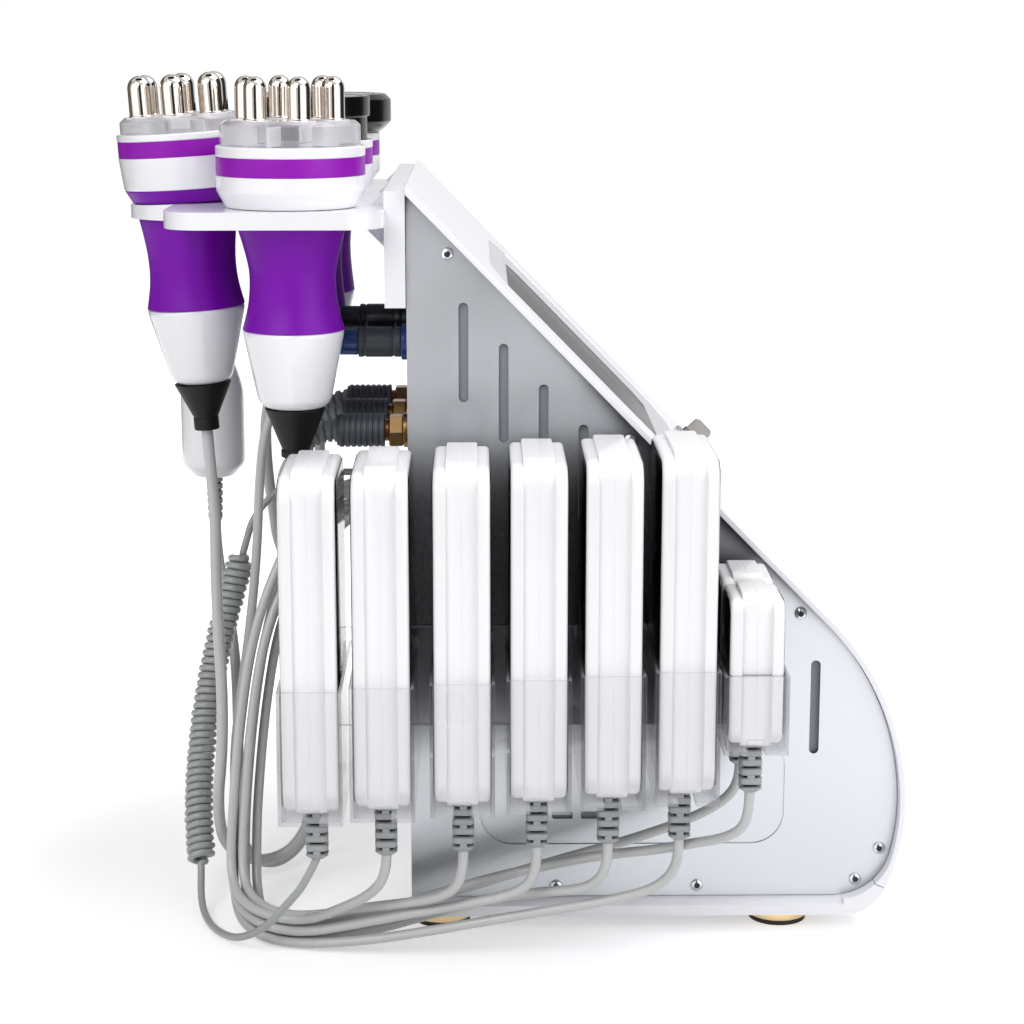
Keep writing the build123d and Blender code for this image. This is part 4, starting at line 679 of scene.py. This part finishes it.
# Handpieces. Profiles are (radius, height above the shelf's top) along each handpiece's axis.
LEAN = radians(3.4)
STATIONS = {
    1: ((-116.75, -64, 400), UP), 2: ((-177.75, -14, 400), (-sin(LEAN), 0, cos(LEAN))),
    3: ((-177.75, 81, 400), UP), 4: ((-116.75, 31, 400), UP), 5: ((-116.75, 126, 400), UP),
}
HEADS = {
    1: dict(head=[(0, 0.2), (34.4, 0.2), (39.3, 9), (39.3, 16.8)], band=(39.3, 16.8, 26.8), lip=32.2,
            tail=[(27.4, -64.5), (19.5, -103), (15.5, -107), (0, -107)],
            grip=[(29.3, 0.2), (29.3, -9), (26.0, -20), (23.3, -32), (22.9, -41), (23.8, -51), (25.6, -59),
                  (27.2, -64.5)],
            cap=(37, 32.2, 45.8), electrodes=(23.8, 6.1, 45.8, 68.0, -133.5),
            boot=[(16.4, -107), (13.6, -114), (7.3, -130), (8.0, -130), (8.0, -134), (3.4, -134)]),
    2: dict(head=[(0, 7.4), (33.2, 7.4), (35, 24.8)], band=(35, 24.8, 33.9), lip=37.4,
            tail=[(27.2, -58), (17, -97.5), (13.5, -101), (0, -101)],
            grip=[(26.9, 0.2), (26.9, -9), (25.3, -18), (24.1, -28), (23.8, -38), (24.6, -47), (26.8, -58)],
            cap=(32.8, 37.4, 46.8), electrodes=(21.8, 6.6, 46.8, 68.4, -150.0),
            boot=[(15.9, -101), (12.6, -108), (6.7, -120.5), (7.0, -120.5), (7.0, -127.5), (3.4, -127.5)]),
    4: dict(head=[(0, 0.2), (32.5, 0.2), (39, 8), (39, 17.5)], band=(39, 17.5, 26.5), lip=31,
            tail=[(22.9, -64.5), (15, -97), (12, -100), (0, -100)],
            grip=[(25, 0.2), (25, -9), (22.6, -20), (20.8, -31), (20.5, -40), (21.2, -51), (22.7, -64.5)],
            boot=[(13, -100), (10.6, -107), (6.7, -120), (7.0, -120), (7.0, -126), (3.4, -126)]),
}
HEADS[5] = HEADS[4]
BAND_DEPTH = 0.35            # the band lies a hair below the shell
WALL, LIP_DEPTH = 3, 0.6


def smooth_profile(points, share=6):
    """A smooth line through profile points (radius, height)."""
    out = []
    for k in range(len(points) - 1):
        p0 = Vector(points[max(k - 1, 0)])
        p1, p2 = Vector(points[k]), Vector(points[k + 1])
        p3 = Vector(points[min(k + 2, len(points) - 1)])
        for i in range(share):
            t = i / share
            out.append(0.5 * (2 * p1 + (p2 - p0) * t + (2 * p0 - 5 * p1 + 4 * p2 - p3) * t * t
                              + (3 * p1 - p0 - 3 * p2 + p3) * t ** 3))
    out.append(Vector(points[-1]))
    return out


def contact(name, place, axis, radius, base, top):
    """Bullet-nosed metal contact with a thin foot ring."""
    dome = [(radius * cos(radians(a)), top - radius * 1.02 * (1 - sin(radians(a)))) for a in range(0, 91, 10)]
    profile = [(radius + 0.55, base - 0.3), (radius + 0.55, base + 0.5), (radius + 0.1, base + 0.8),
               (radius, base + 1.2)] + dome[:-1] + [(0, top)]
    return lathe(name, profile, place, axis, electrode_chrome, steps=48, sharp=50)


for number, parts in HEADS.items():
    base, axis = STATIONS[number]
    body = f"handpiece_{number}"
    width, band_low, band_high = parts["band"]
    lip, grip, boot = parts["lip"], parts["grip"], parts["boot"]
    head_profile = parts["head"] + [(width, band_low - 0.25), (width - BAND_DEPTH, band_low),
                                    (width - BAND_DEPTH, band_high), (width, band_high + 0.25), (width, lip),
                                    (width - WALL, lip), (width - WALL, lip - LIP_DEPTH), (0, lip - LIP_DEPTH)]
    head = lathe("head", rounded(head_profile, 0.9), base, axis, shell_white)
    tail = lathe("tail", rounded([(0, -60)] + parts["tail"], 3.2), base, axis, shell_white)
    dress(join(f"{body}_white_shell", [head, tail]), body, "shell_white", f"{body}_shell")
    band = rounded(drum(width - 0.12, band_low + 0.1, band_high - 0.1, width - 2.0), 0.3)
    grip_profile = [(0, grip[0][1]), *grip[:2], *smooth_profile(grip[1:])[1:]]
    radius, end = grip_profile[-1]
    grip_profile += [(radius - 0.5, end - 0.5), (0, end - 0.5)]
    handle_parts = [lathe("band", band, base, axis, band_violet, closed=True),
                    lathe("handle", grip_profile, base, axis, grip_purple)]
    if number == 2:
        flare = rounded([(0, 0.3), (29.2, 0.3), (33.0, 7.3), (0, 7.4)], 0.6)
        handle_parts.append(lathe("flare", flare, base, axis, grip_purple))
    dress(join(f"{body}_handle", handle_parts), body, "grip_purple", f"{body}_grip")
    boot_profile = rounded([(0, boot[0][1]), *boot, (0, boot[-1][1])], 0.8)
    slot, node = ("boot_black", "boot") if number < 3 else ("shell_white", "shell")
    dress(lathe(f"{body}_rubber_boot", boot_profile, base, axis, boot_black), body, slot, f"{body}_{node}")

# Clear caps: a rim, a raised middle, and a seat for each contact with ribs between them
for number in (1, 2):
    base, axis = (Vector(part) for part in STATIONS[number])
    body = f"handpiece_{number}"
    radius, low, high = HEADS[number]["cap"]
    ring_radius, contact_radius, foot, top, first_turn = HEADS[number]["electrodes"]
    middle = ring_radius - contact_radius
    cap_profile = [(0, low), (radius, low), (radius, high - 3), (radius - 3, high - 0.4), (radius - 7, high - 0.4),
                   (radius - 8, high - 2.0), (middle - 1, high - 2.0), (middle - 2, high - 0.6), (0, high - 0.6)]
    outer, inner = contact_radius + 2.6, contact_radius + 0.7
    seat = rounded([(outer, high - 2.2), (outer, high - 0.1), (inner, high - 0.1), (inner, high - 2.2)], 0.4)
    rib_corners = ((-0.8, low + 0.4), (0.8, low + 0.4), (0.8, high - 3.2), (-0.8, high - 3.2))
    side = Vector((axis.z, 0, -axis.x))
    other = axis.cross(side)
    cap_parts, contacts = [lathe("cap_body", rounded(cap_profile, 0.7), base, axis, cap_clear)], []
    for i in range(6):
        turn = radians(first_turn + 60 * i)
        centre = base + spoke(side, other, turn) * ring_radius
        contacts.append(contact(f"contact_{i}", centre, axis, contact_radius, foot - 0.4, top))
        cap_parts.append(lathe(f"seat_{i}", seat, centre, axis, cap_rib, steps=40, closed=True))
        way = spoke(side, other, turn + radians(30))
        rings = [[base + way * r + way.cross(axis) * w + axis * h for w, h in rib_corners]
                 for r in (middle, radius - 0.3)]
        cap_parts.append(loft_rings(f"rib_{i}", rings, cap_rib))
    clear_cap = dress(join(f"{body}_clear_cap", cap_parts), body, "cap_clear", f"{body}_cap")
    clear_cap.visible_shadow = False
    dress(join(f"{body}_contacts", contacts), body, "electrode_chrome", f"{body}_electrodes")

# Third handpiece: the slim wand
base, axis = STATIONS[3]
wand_profile = ([(0, 26)] + rounded([(9, 26), (15, 24.5), (16.5, 12), (23, 8), (23, 0.2), (10, 0.2)], 1.2)
                + smooth_profile([(10, -5), (10, -84), (12.8, -100), (18.0, -118), (18.7, -130), (18.7, -158)])
                + rounded([(18.7, -158), (18.5, -164), (12, -171.2), (8, -172), (0, -172)], 3.0))
dress(lathe("handpiece_3_body", wand_profile, base, axis, shell_white), "handpiece_3", "shell_white",
      "handpiece_3_wand")
RELIEF_TOP, RELIEF_PITCH, RELIEF_RIB = -172.0, 4.5, 3.3
relief_parts = []
for i in range(6):
    start = RELIEF_TOP - i * RELIEF_PITCH
    rib = rounded(drum(5.0 - 0.12 * i, start, start - RELIEF_RIB), 0.6)
    relief_parts.append(lathe(f"wand_rib_{i}", rib, base, axis, boot_grey, steps=40))
relief_parts.append(lathe("wand_core", drum(3.7, RELIEF_TOP, -199), base, axis, groove_painted_shade, steps=40))
dress(join("handpiece_3_relief", relief_parts), "handpiece_3", "boot_black", "handpiece_3_boot")

# Black heads of the fourth and fifth handpieces: the disc and its easing, the plate's radius and height
BLACK_HEADS = {
    4: ([(0, 31), (36, 31), (36, 44), (37.6, 44), (37.6, 55.2), (33, 55.2), (33, 54.6), (0, 54.6)], 0.8, 32.4, 55.0),
    5: ([(0, 31), (38.5, 31), (42.5, 34), (46, 37.5), (46, 50.5), (42.5, 53.9), (36, 53.9), (36, 53.2), (0, 53.2)],
        0.9, 35.4, 53.7),
}
for number, (profile, ease, radius, top) in BLACK_HEADS.items():
    body = f"handpiece_{number}"
    disc = lathe("disc", rounded(profile, ease), *STATIONS[number], head_black)
    plate = lathe("plate", rounded(drum(radius, top, top - 0.6), 0.3), *STATIONS[number], plate_grey)
    dress(join(f"{body}_disc", [disc, plate]), body, "head_black", f"{body}_head")

# Pads: two face covers on a centre frame, a dark window and a ribbed boot
POCKET_X = [-103.75, -67.46, -26.97, 11.61, 49.05, 86.49]
PAD_Y, SMALL_X = -136.6, 120.87
FRAME_PROUD, WINDOW_CORNER, BOOT_HALF = 2.5, 8.0, 5.75
# Thickness, depth, corner, window margin, boot length and ribs
PAD = (28.4, 84.0, 13.0, 4.5, 34.0, 6)
SMALL_PAD = (27.0, 44.0, 7.0, 4.0, 28.0, 5)
# A shell's rings from a face to the middle: share of the half thickness, inset, and 1 on the centre frame
PAD_RIM = [(1.0, 3.2, 0), (0.985, 1.6, 0), (0.93, 0.5, 0), (0.84, 0.0, 0), (0.58, 0.0, 0), (0.56, 0.35, 0),
           (0.55, 0.25, 1), (0.47, 0.0, 1), (0.02, 0.0, 1), (0.01, 0.2, 1)]
PAD_RINGS = [(-share, inset, framed) for share, inset, framed in PAD_RIM] + PAD_RIM[::-1]
WINDOW_RINGS = ((-0.6, 0.0), (0.25, 0.0), (0.45, 0.5))


def ribbed_boot(name, x, y, top, length, ribs):
    """Square rubber boot: grooves in front and back, notches at the sides, in turn."""
    pitch = length / (ribs + 0.6)
    core = [lying(x, y, z, BOOT_HALF - 2.2, BOOT_HALF - 2.2, 1.5, 3) for z in (top, top - length + 2.5)]
    parts = [loft_rings("core", core, groove_painted_shade)]
    for i in range(ribs + 1):
        start = top - i * pitch
        end = max(start - pitch * 0.70, top - length)
        shrink = 1.6 if i == ribs else 0.0
        levels = ((start, 0.5), (start - 0.5, 0.0), (end + 0.5 + shrink, 0.0), (end, 0.5 + shrink))
        parts.append(loft_rings(f"rib_{i}", [lying(x, y, z, BOOT_HALF - inset, BOOT_HALF - inset, 2.4, 5)
                                             for z, inset in levels], boot_grey))
        if i == ribs:
            break
        # bridges to the next rib: on the front and back faces, then on the sides, in turn
        for out in (BOOT_HALF - 1.4, 1.4 - BOOT_HALF):
            cx, cy, half_x, half_y = (0, out, 1.9, 1.4) if i % 2 else (out, 0, 1.4, 1.9)
            bridge = [lying(x + cx, y + cy, z, half_x, half_y, 0.3, 2) for z in (end + 0.3, start - pitch - 0.3)]
            parts.append(loft_rings("bridge", bridge, boot_grey))
    return join(name, parts)


pad_table = [(f"pad_{i + 1}", x, PAD_Y, PAD) for i, x in enumerate(POCKET_X)]
pad_table += [("small_pad_1", SMALL_X, -156.6, SMALL_PAD), ("small_pad_2", SMALL_X, -110.2, SMALL_PAD)]
for name, x, y, (thick, deep, corner, margin, boot_length, ribs) in pad_table:
    low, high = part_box(name + "_shell")
    floor_z, tall = low[2] / MM, (high[2] - low[2]) / MM
    middle = floor_z + tall / 2
    rings = [standing(x + share * thick / 2, y, middle, deep / 2 - framed * FRAME_PROUD - inset,
                      tall / 2 - (1 - framed) * FRAME_PROUD - inset, corner - inset, 8)
             for share, inset, framed in PAD_RINGS]
    dress(loft_rings(name + "_case", rings, pad_white, sharp=45), name, "shell_white", name + "_shell")
    windows = []
    # A dark window on each face; the one on the +x face is partly a real dark face and partly painted shade, a dark
    # sheet that darkens the gaps between the pads
    for way in (-1, 1):
        rings = [standing(x + way * (thick / 2 + depth), y, middle, deep / 2 - margin - inset,
                          tall / 2 - margin - inset, WINDOW_CORNER) for depth, inset in WINDOW_RINGS]
        windows.append(loft_rings("face", rings, window_dark))
    dress(join(name + "_glass", windows), name, "window_dark", name + "_window")
    boot = ribbed_boot(name + "_ribbed_boot", x, y, floor_z, boot_length, ribs)
    dress(boot, name, "boot_grey", name + "_boot")

# Panel screws: domed heads with a hexagonal socket
SCREW_RADIUS, SOCKET_RADIUS = 3.3, 1.5
NEAR_PANEL_Y, FAR_PANEL_Y = -76.0, 173.0


def screw(name, place, way):
    """Domed head with a hexagonal socket, standing on a panel."""
    dome = [(SCREW_RADIUS * cos(radians(a)), 0.35 + 1.35 * sin(radians(a))) for a in range(0, 60, 12)]
    head = lathe(name, [(SCREW_RADIUS, 0.0)] + dome + [(1.62, 1.62), (SOCKET_RADIUS, 1.45)], place, way, screw_chrome,
                 steps=32, sharp=50)
    axis, side, other = axes(way)
    rings = [[Vector(place) + axis * height + spoke(side, other, radians(60 * i)) * SOCKET_RADIUS * share
              for i in range(6)] for height, share in ((1.5, 1.0), (0.5, 0.98))]
    return [head, loft_rings(name + "_pit", rings, groove_painted_shade, sharp=20)]


# The cabinet's outline, from its rear face: the slope runs from the top edge to the nose, and the chin turns in to
# the floor over a smaller corner
REAR, NEAR_SIDE = -56.25, -84.0
CABINET_TOP, CABINET_DEEP = 411.7, 272.0
NOSE_X, NOSE_Z, NOSE_RADIUS = 122.0, 72.5, 150.0
nose_drop = CABINET_TOP - NOSE_Z
SLOPE = atan2(nose_drop, NOSE_X) - asin(NOSE_RADIUS / hypot(nose_drop, NOSE_X))
slope_length = (NOSE_X + NOSE_RADIUS * sin(SLOPE)) / cos(SLOPE)
CHIN_X, CHIN_RADIUS, CORNER, FLOOR_LINE = 154.0, 118.0, 31.7, 19.4
corner_arm = CHIN_RADIUS - 3.3 - CORNER
corner_turn = asin((NOSE_Z - FLOOR_LINE - CORNER) / corner_arm)
corner_x, corner_z = CHIN_X + corner_arm * cos(corner_turn), NOSE_Z - corner_arm * sin(corner_turn)
SLOPE_INSET, CORNER_REACH, FLOOR_SCREW_Z = 9.4, 25.6, 25.5
screw_places = [(share * slope_length * cos(SLOPE) - SLOPE_INSET * sin(SLOPE),
                 CABINET_TOP - share * slope_length * sin(SLOPE) - SLOPE_INSET * cos(SLOPE))
                for share in (0.124, 0.548, 0.957)]
screw_places += [(corner_x + CORNER_REACH * cos(radians(turn)),
                  corner_z - CORNER_REACH * sin(radians(turn))) for turn in (10.0, 61.0)]
screw_places += [(share * CABINET_DEEP, FLOOR_SCREW_Z) for share in (0.295, 0.583)]
screws = []
for k, (x, z) in enumerate(screw_places):
    screws += screw(f"screw_{k}_near", (REAR + x, NEAR_PANEL_Y, z), (0, -1, 0))
    screws += screw(f"screw_{k}_far", (REAR + x, FAR_PANEL_Y, z), (0, 1, 0))
dress(join("socket_screws", screws), "root", "screw_chrome", "panel_screws")

# Liners behind the vent slots
LINER = [(-52, 22), (185, 22), (205, 60), (208, 95), (195, 130), (-52, 385)]
for side_name, y0, y1 in (("near", -73.2, -72.2), ("far", 169.2, 170.2)):
    rings = [[(x, y, z) for x, z in LINER] for y in (y0, y1)]
    dress(loft_rings(f"vent_liner_{side_name}", rings, liner_grey, sharp=20), "root", "panel_silver")

# Feet with turned grooves
foot = rounded([(0, 10.5), (17.4, 10.5), (18.0, 9.6), (18.0, 8.7), (17.6, 8.5), (17.6, 8.2), (18.0, 8.0), (18.0, 4.2),
                (16.6, 2.6), (0, 2.6)], 0.25, 3)
feet = [lathe("foot", foot, (REAR + x, NEAR_SIDE + y, 0), UP, foot_gold) for x in (16.5, 206.0) for y in (27.0, 238.0)]
dress(join("turned_feet", feet), "root", "foot_gold", "feet")

# Sockets and plugs behind the rear panel. Reaches are measured back from the rear face.
BACK = (-1, 0, 0)
LOWER = [(-44, 277), (9, 277), (62, 277)]
UPPER = [(-24, 323), (-1, 333)]
SIDEWAYS, UPWARD = Vector((0, 1, 0)), Vector(UP)
RELIEF_BEND, RELIEF_TURN = 26.0, radians(46.0)
RELIEF_RIBS, RELIEF_END = 5, 4.6
socket_parts, plug_parts = [], []


def hex_nut(place, radius, start, end, material):
    """Hexagonal nut with chamfered corners."""
    rings = []
    for reach, shrink in ((start, 0.92), (start + 0.8, 1.0), (end - 0.8, 1.0), (end, 0.92)):
        rings.append([Vector((REAR - reach, *place)) + spoke(SIDEWAYS, UPWARD, radians(60 * i)) * radius * shrink
                      for i in range(6)])
    return loft_rings("nut", rings, material, sharp=20)


def drooping(place, start, radius):
    """Ribbed strain relief that turns down from a plug's rear end."""
    line, radii = [], []
    count = RELIEF_RIBS * 6
    for i in range(count + 1):
        share = i / count
        turn = RELIEF_TURN * share
        line.append(metres((REAR - start - RELIEF_BEND * sin(turn), place[0],
                            place[1] - RELIEF_BEND * (1 - cos(turn)))))
        groove = 0.78 if i % 6 in (4, 5) and i < count else 1.0
        radii.append((radius + (RELIEF_END - radius) * share) * groove * MM)
    return tube("relief", line, radii, relief_grey, sides=32)


for place in LOWER:
    centre = (REAR, *place)
    socket_parts += [lathe("neck", drum(5.9, -6, 13), centre, BACK, neck_copper, steps=48),
                     lathe("washer", rounded(drum(9.4, 0, 3), 0.4), centre, BACK, nut_brass, steps=48),
                     hex_nut(place, 9.4, 3.0, 11.0, nut_brass)]
    profile = [(0, 13)]
    for i in range(8):
        start = 13.4 + i * 3.2
        profile += [(9.2, start), (9.2, start + 2.1), (8.5, start + 2.3), (8.5, start + 3.0)]
    profile += [(8.2, 39.4), (0, 39.4)]
    plug_parts += [lathe("plug", rounded(profile, 0.35, 2), centre, BACK, plug_slate, sharp=30),
                   drooping(place, 39.0, 6.6)]
for place, ring_material, plug_material in zip(UPPER, (collar_blue, plug_black), (plug_slate, plug_black)):
    centre = (REAR, *place)
    socket_parts += [lathe("neck", drum(5.9, -6, 4.5), centre, BACK, neck_copper, steps=48),
                     lathe("ring", rounded(drum(10.0, 0, 4.5), 0.8), centre, BACK, ring_material, steps=64)]
    profile = [(0, 4.5), (8.4, 4.7), (8.4, 8.0), (7.9, 8.4), (7.9, 9.2), (8.4, 9.6), (8.4, 24.0), (7.9, 24.4),
               (7.9, 25.2), (8.4, 25.6), (8.4, 28.0), (0, 28.0)]
    plug_parts += [lathe("plug", rounded(profile, 0.3, 2), centre, BACK, plug_material, sharp=30),
                   lathe("collar", rounded(drum(7.2, 28, 39), 0.8), centre, BACK, ring_material, steps=64),
                   drooping(place, 38.6, 6.4)]
block_rings = [standing(REAR - reach, 28, 228, 32 - inset, 13 - inset, 4.3)
               for reach, inset in ((0.0, 0.0), (12.6, 0.0), (13.6, 0.5), (14.0, 1.5))]
plug_parts.append(loft_rings("cord_block", block_rings, plug_slate))
dress(join("socket_nuts", socket_parts), "root", "socket_brass", "panel_sockets")
dress(join("ribbed_plugs", plug_parts), "root", "plug_slate", "cable_plugs")

# Housings and small parts with eased edges
cover = eased("front_cover", 0.7, cover_white, "white_gloss", edge=cover_white)
cover.data.materials.append(recess_grey)
SCREEN_Y, RECESS_REACH, RECESS_MARGIN = 0.0485, 0.1, 0.02
RECESS_DEEPEST, RECESS_SHALLOWEST = -0.0032, -0.0006
slope_top = metres((REAR, 0, CABINET_TOP))
slope_normal = Vector((sin(SLOPE), 0, cos(SLOPE)))
screen_low, screen_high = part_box("touch_screen")
for face in cover.data.polygons:
    sink = (face.center - slope_top).dot(slope_normal)
    near_screen = (screen_low[0] - RECESS_MARGIN < face.center.x < screen_high[0] + RECESS_MARGIN
                   and abs(face.center.y - SCREEN_Y) < RECESS_REACH)
    if near_screen and RECESS_DEEPEST < sink < RECESS_SHALLOWEST and face.normal.dot(slope_normal) > 0.3:
        face.material_index = 2
eased("base_tray", 0.7, cover_white, "white_gloss")
eased("handpiece_shelf", 1.6, shelf_white, "white_gloss", segments=3)
for node in ("side_panel_near", "side_panel_far"):
    eased(node, 0.45, panel_silver, "panel_silver", edge=screw_chrome)
eased("rear_panel", 0.4, rear_silver, "panel_silver")
eased("power_inlet", 0.5, inlet_black, "inlet_black")
eased("key_switch_ring", 0.4, screw_chrome, "screw_chrome")
eased("key_switch_key", 0.5, key_steel, "key_steel", body="key")
rack = eased("pad_rack", 0.8, clear_acrylic, "clear_acrylic", edge=acrylic_edge)
rack.visible_shadow = False
